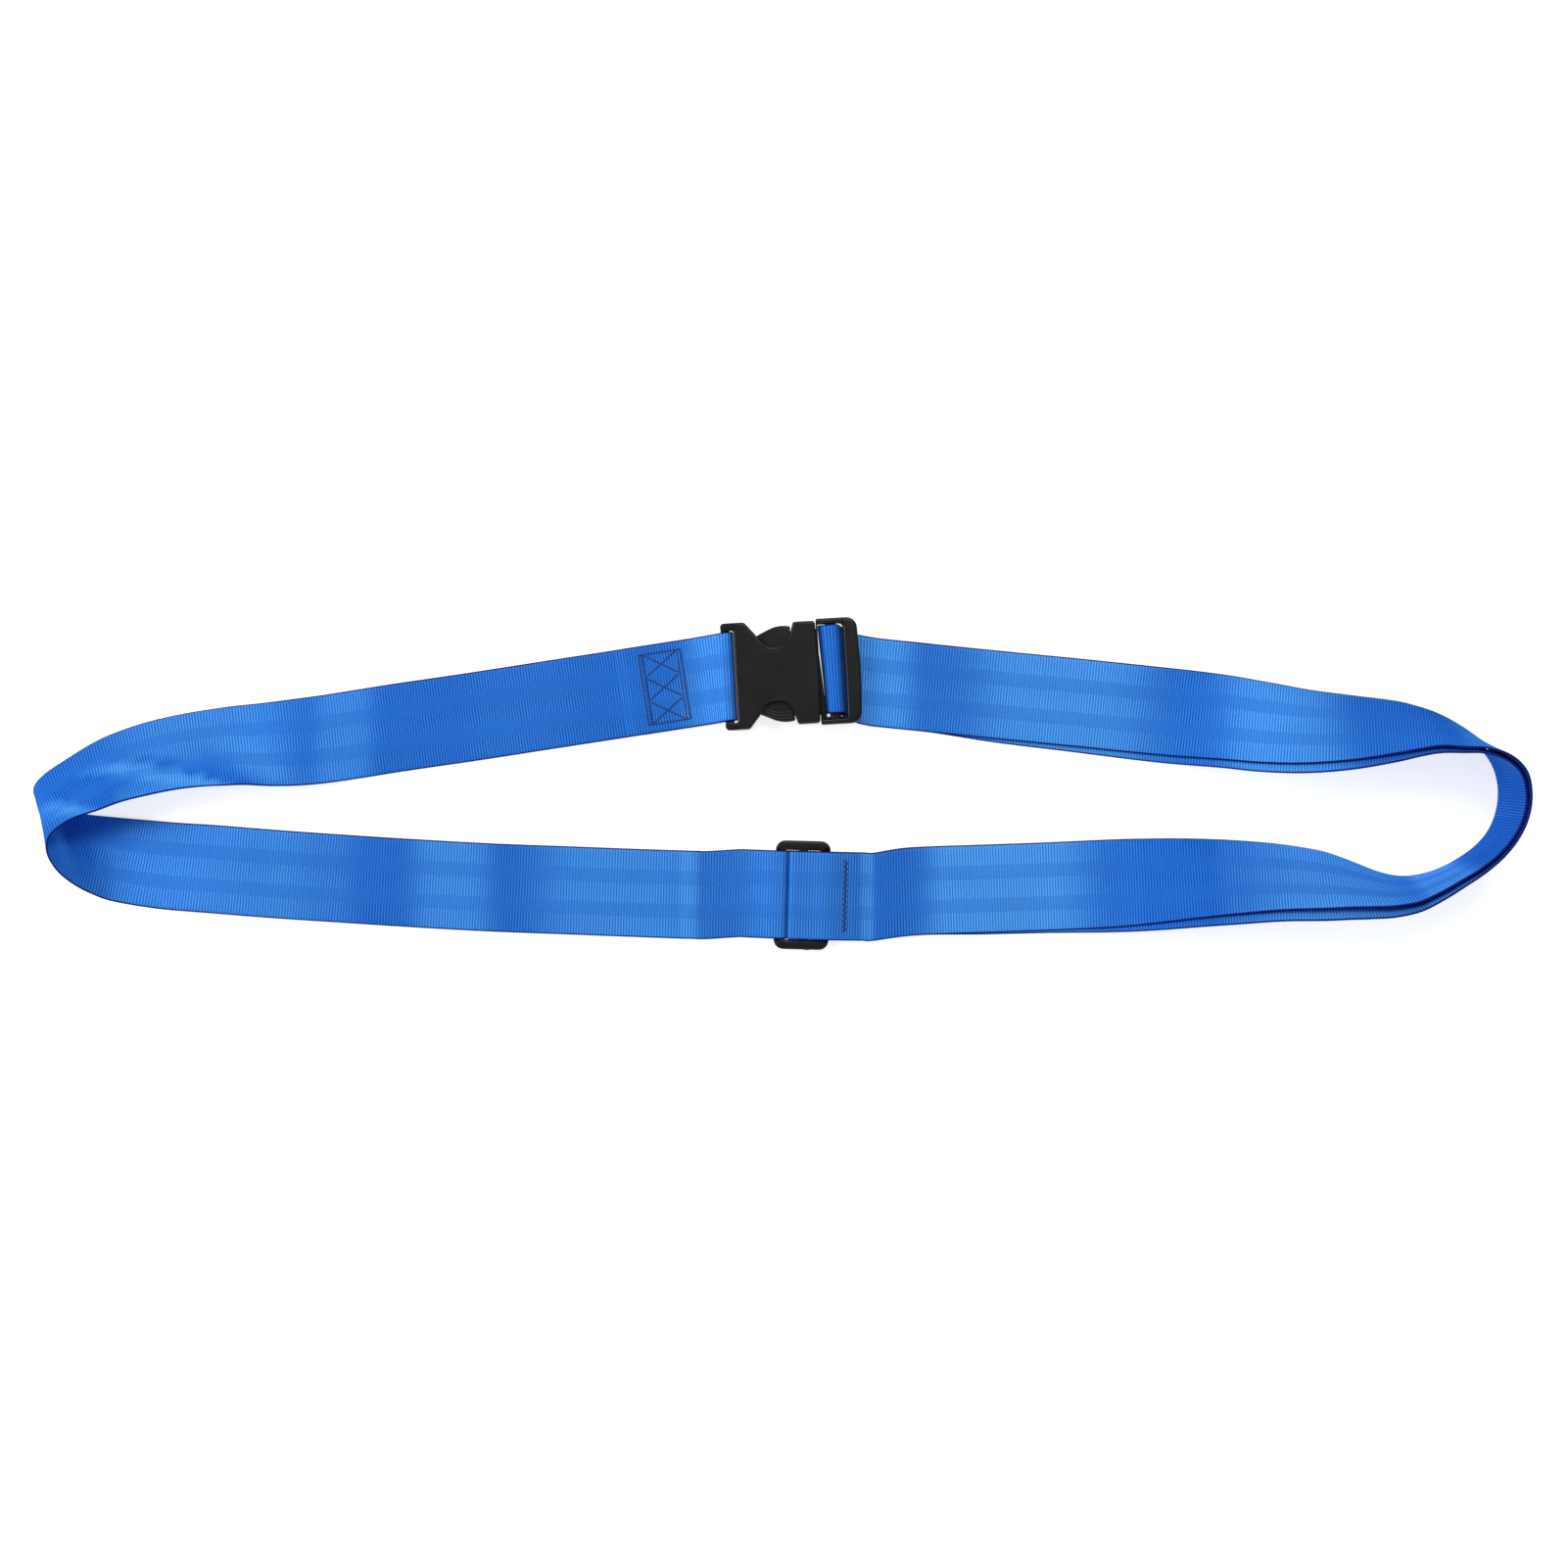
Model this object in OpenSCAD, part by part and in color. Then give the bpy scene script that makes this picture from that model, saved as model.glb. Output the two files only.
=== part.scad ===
// Luggage strap: a 50 mm webbing loop with a side-release buckle and a triglide slider,
// lying on a table with its two ends standing on edge.
// X runs along the loop, Y across it, Z up. The table is z = 0 and the origin is the
// middle of the loop's footprint. All lengths are in millimetres, all angles in degrees.

/* [Webbing] */
// Width of the webbing
web_width = 50; // [49.5:0.1:50.2]
// Thickness of one ply
web_thick = 1.3; // [1.1:0.1:1.4]
// Air between two plies that lie on each other
ply_gap = 0.3; // [0.25:0.05:0.4]
// Rings swept between two route points
ring_steps = 3; // [2:1:4]

/* [Buckle] */
// Angle of the buckle's long axis to X
buckle_turn = 3.3; // [3.2:0.1:3.4]
// Height of the socket
socket_height = 13; // [12.5:0.5:14]
// Wall of the socket, above and below its cavity
socket_wall = 2.6; // [2.2:0.1:2.7]
// Half width of the socket's mouth opening
mouth_half = 24.6; // [24.5:0.1:24.8]
// Half width of the plug frame
plug_half = 29.8; // [29.4:0.1:30.2]

/* [Slider] */
// Angle of the slider's short axis to X
slider_turn = -1.5; // [-1.6:0.1:-1.4]
// Size of the slider along the webbing
slider_len = 31; // [31:0.5:32]
// Size of the slider across the webbing
slider_wide = 61.2; // [61:0.2:62]

/* [Stitching] */
// Diameter of the sewing thread as it shows on the webbing
thread = 0.6; // [0.4:0.1:0.8]

/* [Hidden] */
$fn = 32;
WEBBING_BLUE = "royalblue";
ACETAL_BLACK = "dimgray";
THREAD_NAVY = "midnightblue";

buckle_at = [12, 62, 0];
slider_at = [17.5, -62.5, 0];
lead = web_thick / 2;              // middle of a ply that lies on the table
stack = web_thick + ply_gap;       // from one ply's middle to the next
upper = lead + stack;              // middle of a ply that lies on another
top_of_two = upper + web_thick / 2;

// ---- vectors -----------------------------------------------------------------

function unit(v) = v / norm(v);
function turned(p, a) = [p.x * cos(a) - p.y * sin(a), p.x * sin(a) + p.y * cos(a), p.z];

// A station is the pair of points where the webbing's two edges are.
// In a tool's own frame it is u along, z up, v across and a skew of its width.
function local_station(at, turn, u, z, v = 0, skew = 0) =
    let (mid = at + turned([u, v, z], turn),
         half = turned([0, web_width / 2, 0], turn + skew))
    [mid + half, mid - half];

function buckle_station(s) = local_station(buckle_at, buckle_turn, s[0], s[1], s[2], s[3]);
function slider_station(s) = local_station(slider_at, slider_turn, s[0], s[1]);

// On the table a station is the near edge's x, y and the far edge's x, y and rise.
// The near edge stands on the table, lower as the webbing tips up on it.
function table_station(s, mid_z) =
    let (lean = s[4] / web_width)
    [[s[0], s[1], mid_z * sqrt(max(0, 1 - lean * lean)) + 0.2 * lean], [s[2], s[3], s[4] + mid_z]];

// ---- routes ------------------------------------------------------------------

// Buckle frame: the tail lies flat, rises to the socket's bar, wraps it and comes back on top.
// The webbing leaves the bar at a small angle to the buckle's axis, which sewn_v and sewn_skew give.
function sewn_v(u) = 0.3 + 0.096 * min(0, u + 36);
function sewn_skew(u) = 5.5 * min(1, max(0, (-39 - u) / 12));
SEWN_END = [
    [-88, lead], [-80, lead], [-70, lead], [-60, lead], [-54, 0.8], [-48, 1.3], [-43, 2.2],
    [-39, 2.9], [-36, 3.0], [-33.9, 3.5], [-32.9, 5], [-32.8, 7], [-33.6, 9], [-35.2, 10],
    [-37, 10.1]];
SEWN_TOP = [
    [-39, 9.6], [-42, 8], [-46, 5.6], [-50, 3.6], [-54, 2.5], [-58, upper], [-65, upper],
    [-74, upper], [-83, upper], [-87, upper], [-91, 2.0], [-96, 1.0], [-101, lead]];

// Table frame, single ply: along the top, round the left end and back along the bottom.
LEFT_TOP = [
    [-131, 69, -124, 19.5, 0], [-173, 62.5, -166, 13, 0], [-214, 56.5, -207, 7, 0]];
LEFT_BEND = [
    [-255, 50, -249, 0.5, 3], [-285, 46, -277, -1.5, 13], [-309, 43, -299, 0, 22],
    [-333, 39.5, -321, -2.5, 25], [-356, 34, -341, -6, 27], [-378, 25.5, -360, -10.5, 30],
    [-398, 13.5, -377, -16.5, 34], [-411.2, 5, -387, -22.5, 37], [-416, -2.5, -394, -30, 40],
    [-409.5, -11, -395, -38.5, 41], [-396, -15.5, -391, -47, 38], [-384, -17.5, -384, -54.5, 33],
    [-372, -18.5, -375, -61, 26], [-360, -19.5, -365, -65.5, 19], [-337, -21.5, -342, -70, 11],
    [-313, -23.5, -317, -72, 6], [-277, -26, -281, -75.5, 2]];
LEFT_BOTTOM = [
    [-241, -28.5, -246, -78, 0], [-203, -31, -206, -80.5, 0], [-158, -33.5, -161, -83, 0],
    [-113, -35, -115, -85, 0], [-73, -36.5, -75, -86.5, 0]];
LEFT_HUMP = [
    [-51, -37.2, -52, -87.2, 1.5], [-43, -37.4, -44, -87.4, 1.8], [-35, -37.6, -36, -87.6, 0.4]];

// Slider frame: over the first outer bar, under the centre bar and over the second outer bar.
SLIDER_PASS = [
    [-36, lead], [-30, 0.9], [-24, 2.1], [-18, 3.7], [-15, 4.3], [-12.5, 4.5], [-10.6, 4.3],
    [-9.3, 3.3], [-8.6, 2.0], [-7.6, 1.0], [-6, lead], [-3, lead], [0, lead], [3, lead],
    [6, lead], [7.6, 1.0], [8.6, 2.0], [9.3, 3.3], [10.6, 4.3], [12.5, 4.5], [15, 4.3],
    [18, 3.6], [24, 1.9], [30, 0.8], [35, lead], [40, lead]];

// Slider frame: in on top, over the second outer bar, round the centre bar and back below.
SLIDER_LOOP_IN = [
    [40, upper], [36, 2.6], [33, 3.3], [30, 4.0], [24, 5.2], [18, 6.9], [15, 7.5], [12.5, 7.7],
    [10, 7.5], [6, 6.9], [0, 6.6], [-4, 6.6], [-6.3, 6.1], [-7.3, 4.9], [-6.8, 3.5], [-5, 2.5],
    [-2.6, upper], [0, upper], [4.5, upper], [6.2, 2.5], [7.2, 3.2], [8.0, 4.4], [9.3, 5.6],
    [11, 6.1], [12.5, 6.1], [15, 5.9], [18, 5.25], [24, 3.6], [30, 2.4]];

// Table frame, two plies: near edge, far edge, rise, half the space between the plies'
// middles, how far the inner ply is shifted towards its far edge, and the outer one.
RIGHT_BOTTOM = [
    [79, -35.5, 81, -85.5, 0, 0.8, 0, 0], [118, -34, 120, -84, 0, 0.8, 0, 1],
    [157, -32.6, 159, -82.6, 0, 0.8, 0, 1.6], [187, -31.4, 188.5, -80.9, 6, 0.8, 0, 2.4]];
RIGHT_BEND = [
    [213, -30.9, 213, -78.2, 15.5, 0.85, 0, 3.4], [237, -31.1, 236, -75, 23.5, 0.95, 0, 4.4],
    [261, -32.3, 258, -72.6, 29.3, 1.2, 0, 5], [285, -34.7, 281, -70.7, 34.5, 1.6, 0, 5],
    [308, -38.8, 304, -70.1, 38.8, 2, 0, 5], [320, -42.8, 316, -69.6, 42, 2.2, 0, 4.8],
    [331, -47.3, 328, -69.4, 44.7, 2.3, 0, 4.4], [342, -51.6, 340, -68.8, 46.9, 2.3, 0, 4],
    [354, -53.9, 353, -66.2, 48.4, 2.1, 0, 3], [366, -52.8, 365, -60.4, 49.2, 1.9, 0, 2],
    [377, -49.3, 376, -53.9, 49.6, 1.7, 0, 1], [388, -43.4, 387, -46.9, 49.7, 1.5, 0, 0.4],
    [398, -36, 397, -38.5, 49.8, 1.4, 0, 0], [405.5, -27, 405, -28.5, 49.9, 1.3, 0, 0],
    [410, -16, 410, -17.5, 49.9, 1.3, 0, 0], [411.5, -4, 411.5, -5.5, 49.9, 1.4, 0, 0],
    [409.5, 8, 409, 6, 49.9, 1.6, 0, 0], [404, 18, 401, 14, 49.7, 1.9, 0, 0],
    [395, 26.5, 389, 18, 49, 1.9, 0, 0], [385, 33.5, 377, 18.5, 47, 1.7, 1, 0],
    [374, 39, 365, 19, 45, 1.6, 2, 0], [363, 43, 354, 17.5, 42, 1.4, 3, 0],
    [351, 46, 343, 15.5, 38.8, 1.3, 4, 0], [327, 49.3, 320, 12.3, 32.5, 1, 5, 0],
    [304, 52.6, 296, 10.6, 25.7, 0.9, 5, 0], [280, 57.2, 272, 11.2, 17.8, 0.85, 4.6, 0]];
RIGHT_TOP = [
    [257, 61.3, 250, 13.3, 11.8, 0.8, 4.2, 0], [221, 65.8, 214, 16.4, 2, 0.8, 4, 0],
    [173, 71, 168, 21, 0, 0.8, 3, 0], [132, 75, 127, 25, 0, 0.8, 2, 0],
    [93, 79, 88, 29, 0, 0.8, 0, 0]];

// Buckle frame, u, z, v and skew: under the outer bar, over the middle bar and back below.
PLUG_LOOP = [
    [50, upper, -8, -9], [43, upper, -6.6, -7], [37, upper, -5, -5], [33, upper, -3.2, -3],
    [30.7, 2.25, -1.2, -1], [29.2, 2.5, 0, 0], [28, 3.5, 0.6, 0], [27.4, 5.6, 0.9, 0],
    [27, 8.1, 1.1, 0], [25.7, 9.8, 1.2, 0], [23.6, 10.4, 1.2, 0.4], [21.2, 10.2, 1.2, 1.2],
    [18.8, 9, 1.2, 2.2], [17.5, 7, 1.2, 2.8], [17.4, 4.4, 1.2, 2.8], [18.6, 2.1, 1.2, 2],
    [21, 0.9, 1, 0.6],
    [24, lead, 0.5, 0], [28, lead, -0.8, 0], [32, lead, -2.8, -2], [37, lead, -5, -5],
    [43, lead, -6.6, -7], [50, lead, -8, -9]];

// ---- the two plies of the right half -------------------------------------------

function reversed(list) = [for (i = [len(list) - 1:-1:0]) list[i]];

DOUBLE = concat(RIGHT_BOTTOM, RIGHT_BEND, RIGHT_TOP);
DOUBLE_MID = [for (s = DOUBLE) table_station(s, lead + stack / 2)];

function mid_of(s) = (s[0] + s[1]) / 2;
function width_of(s) = unit(s[1] - s[0]);
function along(list, i) =
    let (a = max(i - 1, 0), b = min(i + 1, len(list) - 1))
    unit(mid_of(list[b]) - mid_of(list[a]));
function face_of(list, i) = unit(cross(along(list, i), width_of(list[i])));

function ply(side) = [
    for (i = [0:len(DOUBLE) - 1])
        let (push = face_of(DOUBLE_MID, i) * DOUBLE[i][5] * side,
             slip = width_of(DOUBLE_MID[i]) * DOUBLE[i][side < 0 ? 6 : 7])
        [DOUBLE_MID[i][0] + push + slip, DOUBLE_MID[i][1] + push + slip]];

OUTER_PLY = ply(1);
INNER_PLY = reversed(ply(-1));

// ---- the whole webbing, end to end ---------------------------------------------

// Each entry is one section's own stations; a section's node runs on to the first
// station of the next one.
SECTIONS = [
    [for (s = SEWN_END) buckle_station([s[0], s[1], sewn_v(s[0]), sewn_skew(s[0])])],
    concat([for (s = SEWN_TOP) buckle_station([s[0], s[1], sewn_v(s[0]), sewn_skew(s[0])])],
           [for (s = LEFT_TOP) table_station(s, lead)]),
    [for (s = LEFT_BEND) table_station(s, lead)],
    concat([for (s = LEFT_BOTTOM) table_station(s, lead)],
           [for (s = LEFT_HUMP) [[s[0], s[1], lead + s[4]], [s[2], s[3], lead + s[4]]]]),
    [for (s = SLIDER_PASS) slider_station(s)],
    [for (i = [0:len(RIGHT_BOTTOM) - 1]) OUTER_PLY[i]],
    [for (i = [len(RIGHT_BOTTOM):len(RIGHT_BOTTOM) + len(RIGHT_BEND) - 1]) OUTER_PLY[i]],
    [for (i = [len(RIGHT_BOTTOM) + len(RIGHT_BEND):len(DOUBLE) - 1]) OUTER_PLY[i]],
    [for (s = PLUG_LOOP) buckle_station(s)],
    [for (i = [0:len(RIGHT_TOP) - 1]) INNER_PLY[i]],
    [for (i = [len(RIGHT_TOP):len(RIGHT_TOP) + len(RIGHT_BEND) - 1]) INNER_PLY[i]],
    [for (i = [len(RIGHT_TOP) + len(RIGHT_BEND):len(DOUBLE) - 1]) INNER_PLY[i]],
    [for (s = SLIDER_LOOP_IN) slider_station(s)]];

ROUTE = [for (section = SECTIONS) each section];
SECTION_STARTS = [for (k = 0, at = 0; k <= len(SECTIONS);
    at = at + (k < len(SECTIONS) ? len(SECTIONS[k]) : 0), k = k + 1) at];

// A curve through all the stations, with ring_steps rings between each two.
function through(a, b, c, d, t) =
    0.5 * (2 * b + (c - a) * t + (2 * a - 5 * b + 4 * c - d) * t * t + (3 * b - a - 3 * c + d) * t * t * t);

LAST = len(ROUTE) - 1;
FINE = [
    for (i = [0:LAST - 1]) for (k = [0:ring_steps - 1])
        let (t = k / ring_steps, a = ROUTE[max(i - 1, 0)], b = ROUTE[i],
             c = ROUTE[i + 1], d = ROUTE[min(i + 2, LAST)],
             near = through(a[0], b[0], c[0], d[0], t),
             far = through(a[1], b[1], c[1], d[1], t),
             mid = (near + far) / 2,
             half = unit(far - near) * web_width / 2)
        [mid - half, mid + half],
    ROUTE[LAST]];

// ---- solids --------------------------------------------------------------------

function on_table(p) = [p.x, p.y, max(0, p.z)];

// One section of webbing: a rectangle swept from one ring to the next.
module webbing(section) {
    first = SECTION_STARTS[section] * ring_steps;
    last = min(SECTION_STARTS[section + 1] * ring_steps, len(FINE) - 1);
    rings = last - first;
    points = [
        for (i = [first:last])
            let (skin = face_of(FINE, i) * web_thick / 2)
            each [on_table(FINE[i][0] - skin), on_table(FINE[i][1] - skin),
                  on_table(FINE[i][1] + skin), on_table(FINE[i][0] + skin)]];
    sides = [
        for (i = [0:rings - 1]) for (k = [0:3])
            let (a = 4 * i + k, b = 4 * i + (k + 1) % 4)
            each [[a, a + 4, b], [b, a + 4, b + 4]]];
    color(WEBBING_BLUE)
        polyhedron(points, concat(sides, [[0, 1, 2, 3], [for (k = [3:-1:0]) 4 * rings + k]]));
}

// Points of a rectangle with round corners.
function round_corner(cx, cy, r, from) =
    [for (k = [0:6]) [cx + r * cos(from + 15 * k), cy + r * sin(from + 15 * k)]];
function round_box(x0, x1, y0, y1, r) = concat(
    round_corner(x1 - r, y1 - r, r, 0), round_corner(x0 + r, y1 - r, r, 90),
    round_corner(x0 + r, y0 + r, r, 180), round_corner(x1 - r, y0 + r, r, 270));

// A bar with round edges that runs across the webbing, from u0 to u1 and z0 to z1.
module bar(u0, u1, z0, z1, half, r) {
    translate([0, half, 0]) rotate([90, 0, 0])
        linear_extrude(2 * half) polygon(round_box(u0, u1, z0, z1, r));
}

// A box given by its middle line: u range, half width and z range.
module slab(u0, u1, half, z0, z1) {
    translate([u0, -half, z0]) cube([u1 - u0, 2 * half, z1 - z0]);
}

module at_buckle() { translate(buckle_at) rotate(buckle_turn) children(); }
module at_slider() { translate(slider_at) rotate(slider_turn) children(); }

// The socket's outline on one side of its axis, from the mouth to the end bar.
notch_depth = 15.4;
SOCKET_EDGE = [
    [14.3, 28.4], [13.4, 28.9], [2, 28.6], [1.2, 26], [-0.2, 21.5], [-3, 17.6],
    [-6, 15.9], [-9, notch_depth], [-12.5, 16], [-16, 18], [-20, 22], [-23.6, 27],
    [-26, 29.9], [-37, 29.9], [-39, 28]];
function mirrored(list) = concat(list, reversed([for (p = list) [p.x, -p.y]]));

slot_half = 26;
module socket() {
    color(ACETAL_BLACK) at_buckle() {
        difference() {
            linear_extrude(socket_height) polygon(mirrored(SOCKET_EDGE));
            slab(-40, -31.95, slot_half, -1, socket_height + 1);
            slab(-26, 15, mouth_half, socket_wall, socket_height - socket_wall);
            slab(-40, -32.2, 31, -1, 1.5);
            slab(-40, -32.2, 31, socket_height - 1.5, socket_height + 1);
        }
        bar(-39, -34, 4, 9, slot_half + 0.5, 1.6);
    }
}

// The plug: frame with two slots, a cross member inside the mouth and a guide tongue.
frame_half = 26.6;
module plug() {
    color(ACETAL_BLACK) at_buckle() {
        translate([0, 0, 3.3]) linear_extrude(7.2) difference() {
            polygon(concat(
                round_corner(31.6, plug_half - 6, 6, 0), [[14.6, plug_half], [14.6, -plug_half]],
                round_corner(31.6, 6 - plug_half, 6, 270)));
            translate([15.4, -frame_half]) square([14.3, 2 * frame_half]);
        }
        bar(19.8, 25.8, 4, 8.8, frame_half + 0.5, 1.6);
        slab(12.7, 14.6, mouth_half - 0.4, 3.3, 10.2);
        slab(-18, 13, 4.5, 4, 9);
    }
}

// A latch arm: round root, straight beam through the mouth, and a thumb pad whose
// shoulder catches behind the mouth's band.
latch_root = [10.8, 20.5];
root_r = 1.6;
LATCH_EDGE = [
    [10.8, 22.1], [3.4, 23.4], [0, 23.8], [0.4, 26.2], [-2.5, 27.2], [-7, 27.2], [-11.5, 26.4],
    [-16, 24.6], [-19.5, 22.4], [-19.8, 20], [-16, 17], [-12, 14.4], [-8.5, 13.6],
    [-4.5, 14.8], [0, 18], [4, 19], [10.8, 18.9]];
module latch_arm(side) {
    color(ACETAL_BLACK) at_buckle() mirror([0, side < 0 ? 1 : 0, 0])
        translate([0, 0, 3]) linear_extrude(7) {
            polygon(LATCH_EDGE);
            translate(latch_root) circle(r = root_r);
        }
}

module slider() {
    color(ACETAL_BLACK) at_slider() {
        translate([0, 0, 0.4]) linear_extrude(5) difference() {
            polygon(round_box(-slider_len / 2, slider_len / 2, -slider_wide / 2, slider_wide / 2, 5.5));
            square([slider_len + 2, 2 * 25.6], center = true);
        }
        for (side = [-1, 1])
            translate([12.85 * side, 0, 0]) bar(-2.65, 2.65, 0.4, 3.4, 26, 1.3);
        bar(-2.6, 2.6, 3.2, 5.4, 26, 1);
    }
}

// Thread laid in straight runs from point to point at one height.
module seam(points) {
    for (i = [0:len(points) - 2])
        let (run = points[i + 1] - points[i])
        translate(points[i]) rotate(atan2(run.y, run.x))
            translate([-thread / 2, -thread / 2, 0]) cube([norm(run) + thread, thread, thread / 2]);
}

// Box with three crossings in zigzags: it joins the tail to the ply above it.
box_at = [-72.3, -3.3];
box_turn = 5.5;
box_along = 11.9;
box_half = 19.8;
zig_step = 2 * box_half / 3;
module box_stitching() {
    color(THREAD_NAVY) at_buckle() translate([box_at.x, box_at.y, top_of_two + 0.02])
        rotate(box_turn) {
            seam([[-box_along, box_half], [box_along, box_half], [box_along, -box_half],
                  [-box_along, -box_half], [-box_along, box_half]]);
            for (side = [-1, 1]) seam([[side * (box_along - 2), box_half], [side * (box_along - 2), -box_half]]);
            for (k = [0:2]) let (y = box_half - zig_step * k) {
                seam([[3 - box_along, y], [box_along - 3, y - zig_step]]);
                seam([[box_along - 3, y], [3 - box_along, y - zig_step]]);
            }
        }
}

// One zigzag row across the tail that closes the slider's loop. The ply slopes here.
tail_u = 24;
tail_z = 5.2;
tail_slope = 14.5;
zigzags = 26;
tail_half = 20;
module tail_stitching() {
    color(THREAD_NAVY) at_slider() translate([tail_u, 0, tail_z + web_thick / 2 + 0.1])
        rotate([0, tail_slope, 0])
            seam([for (k = [0:zigzags]) [k % 2 == 0 ? -0.8 : 0.8, tail_half - 2 * tail_half * k / zigzags]]);
}

module webbing_sewn_end() { webbing(0); }
module webbing_left_top() { webbing(1); }
module webbing_left_bend() { webbing(2); }
module webbing_left_bottom() { webbing(3); }
module webbing_slider_pass() { webbing(4); }
module webbing_outer_bottom_right() { webbing(5); }
module webbing_outer_bend() { webbing(6); }
module webbing_outer_top_right() { webbing(7); }
module webbing_plug_loop() { webbing(8); }
module webbing_inner_top_right() { webbing(9); }
module webbing_inner_bend() { webbing(10); }
module webbing_inner_bottom_right() { webbing(11); }
module webbing_slider_loop() { webbing(12); }

socket();
plug();
latch_arm(1);  // latch_arm_upper
latch_arm(-1);  // latch_arm_lower
slider();
webbing_sewn_end();
webbing_left_top();
webbing_left_bend();
webbing_left_bottom();
webbing_slider_pass();
webbing_outer_bottom_right();
webbing_outer_bend();
webbing_outer_top_right();
webbing_plug_loop();
webbing_inner_top_right();
webbing_inner_bend();
webbing_inner_bottom_right();
webbing_slider_loop();
box_stitching();
tail_stitching();
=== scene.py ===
"""Luggage strap: a loop of 50 mm ribbed webbing with a side-release buckle and a triglide slider.

The strap lies on a pale table. Its left end is twisted up on one edge, and its right end,
where the webbing is doubled, stands on edge. Lengths are in millimetres until a mesh is filled,
which is in metres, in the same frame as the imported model.
"""

from __future__ import annotations

import logging
import math
from dataclasses import dataclass, field
from enum import Enum

import bpy  # noqa: E402
import numpy as np  # noqa: E402
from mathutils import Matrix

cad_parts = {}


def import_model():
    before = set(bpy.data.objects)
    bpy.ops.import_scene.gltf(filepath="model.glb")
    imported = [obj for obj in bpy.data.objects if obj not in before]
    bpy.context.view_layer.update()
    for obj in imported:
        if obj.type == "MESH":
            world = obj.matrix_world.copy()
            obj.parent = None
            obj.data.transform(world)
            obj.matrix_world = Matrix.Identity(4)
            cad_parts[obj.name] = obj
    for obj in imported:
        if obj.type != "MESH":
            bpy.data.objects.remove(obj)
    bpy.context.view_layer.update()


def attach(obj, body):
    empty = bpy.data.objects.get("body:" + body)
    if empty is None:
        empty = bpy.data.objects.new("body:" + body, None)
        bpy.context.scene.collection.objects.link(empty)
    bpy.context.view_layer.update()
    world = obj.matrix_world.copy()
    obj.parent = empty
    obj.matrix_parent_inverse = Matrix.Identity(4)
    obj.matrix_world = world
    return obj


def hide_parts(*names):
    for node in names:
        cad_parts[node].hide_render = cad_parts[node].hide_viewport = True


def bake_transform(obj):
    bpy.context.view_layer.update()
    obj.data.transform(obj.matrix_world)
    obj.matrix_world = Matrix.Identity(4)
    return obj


Array = np.ndarray
LOG = logging.getLogger("luggage_strap")
MM = 0.001

WIDTH = 50.0  # the webbing, edge to edge
THICK = 1.3  # one ply
LEAD = THICK / 2  # middle of a ply that lies on the table
STACK = THICK + 0.3  # from one ply's middle to the next
UPPER = LEAD + STACK  # middle of a ply that lies on another
TOP_OF_TWO = UPPER + THICK / 2
RIB = 1.57  # one cross rib to the next
RIB_RINGS = 4  # rings swept per rib
PANEL_EDGES = (5.4, 13.3)  # across from the middle: smooth panel between these
PANEL_FADE = 0.4  # half the width over which one kind of panel turns into the other
SMOOTH_SHARE = 0.45  # relief of the smooth panels, as a share of the ribbed ones
SLENDER = 0.42  # the most that a round may take of the section it is on
MOULDED_CREASE = 38.0  # degrees: sharper edges of a moulding stay sharp
CLOTH_CREASE = 62.0
THREAD_CREASE = 80.0


# ---- arrays and skins ------------------------------------------------------------------


def unit(vectors: Array) -> Array:
    """Each vector divided by its own length.

    Args:
        vectors: any array whose last axis holds vectors.

    Returns:
        The same shape, with every vector one long.
    """
    return vectors / np.linalg.norm(vectors, axis=-1, keepdims=True)


def eased(values: Array, low: float, high: float) -> Array:
    """Smooth step: 0 below low, 1 above high, and 3t^2 - 2t^3 between.

    Args:
        values: where to work it out.
        low: start of the step.
        high: end of the step.

    Returns:
        Numbers from 0 to 1, shaped as values.
    """
    share = np.clip((values - low) / (high - low), 0, 1)
    return share * share * (3 - 2 * share)


def through(stations: Array, steps: int) -> Array:
    """Catmull-Rom curve through every station.

    Between two stations each coordinate is a cubic whose slope at a station is half the step
    from the station before it to the one after it; the first and last stations count twice.

    Args:
        stations: points, or pairs of points, along the first axis.
        steps: points worked out per span.

    Returns:
        The points of the curve, the last station included.
    """
    held = np.concatenate([stations[:1], stations, stations[-1:]])
    a, b, c, d = (x[:, None] for x in (held[:-3], held[1:-2], held[2:-1], held[3:]))
    t = (np.arange(steps) / steps).reshape((1, steps) + (1,) * (stations.ndim - 1))
    slope, bend, twist = c - a, 2 * a - 5 * b + 4 * c - d, 3 * b - a - 3 * c + d
    curve = 0.5 * (2 * b + slope * t + bend * t**2 + twist * t**3)
    return np.concatenate([curve.reshape((-1,) + stations.shape[1:]), stations[-1:]])


@dataclass
class Skin:
    """One closed skin in millimetres.

    Attributes:
        points: its corners, one row each.
        quads: its four-cornered faces.
        ends: its flat many-cornered faces.
    """

    points: Array
    quads: Array
    ends: list[Array] = field(default_factory=list)

    def volume(self) -> float:
        """Sum of the signed tetrahedra from the origin: above 0 where faces look outwards."""
        a, b, c, d = (self.points[self.quads[:, k]] for k in range(4))
        total = np.sum(a * np.cross(b, c)) + np.sum(a * np.cross(c, d))
        for end in self.ends:
            ring = self.points[end]
            total += np.sum(ring[0] * np.cross(ring[1:-1], ring[2:]))
        return float(total) / 6

    def facing_out(self) -> Skin:
        """The same skin with its faces turned to look outwards."""
        if self.volume() < 0:
            self.quads = self.quads[:, ::-1]
            self.ends = [end[::-1] for end in self.ends]
        return self


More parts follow.
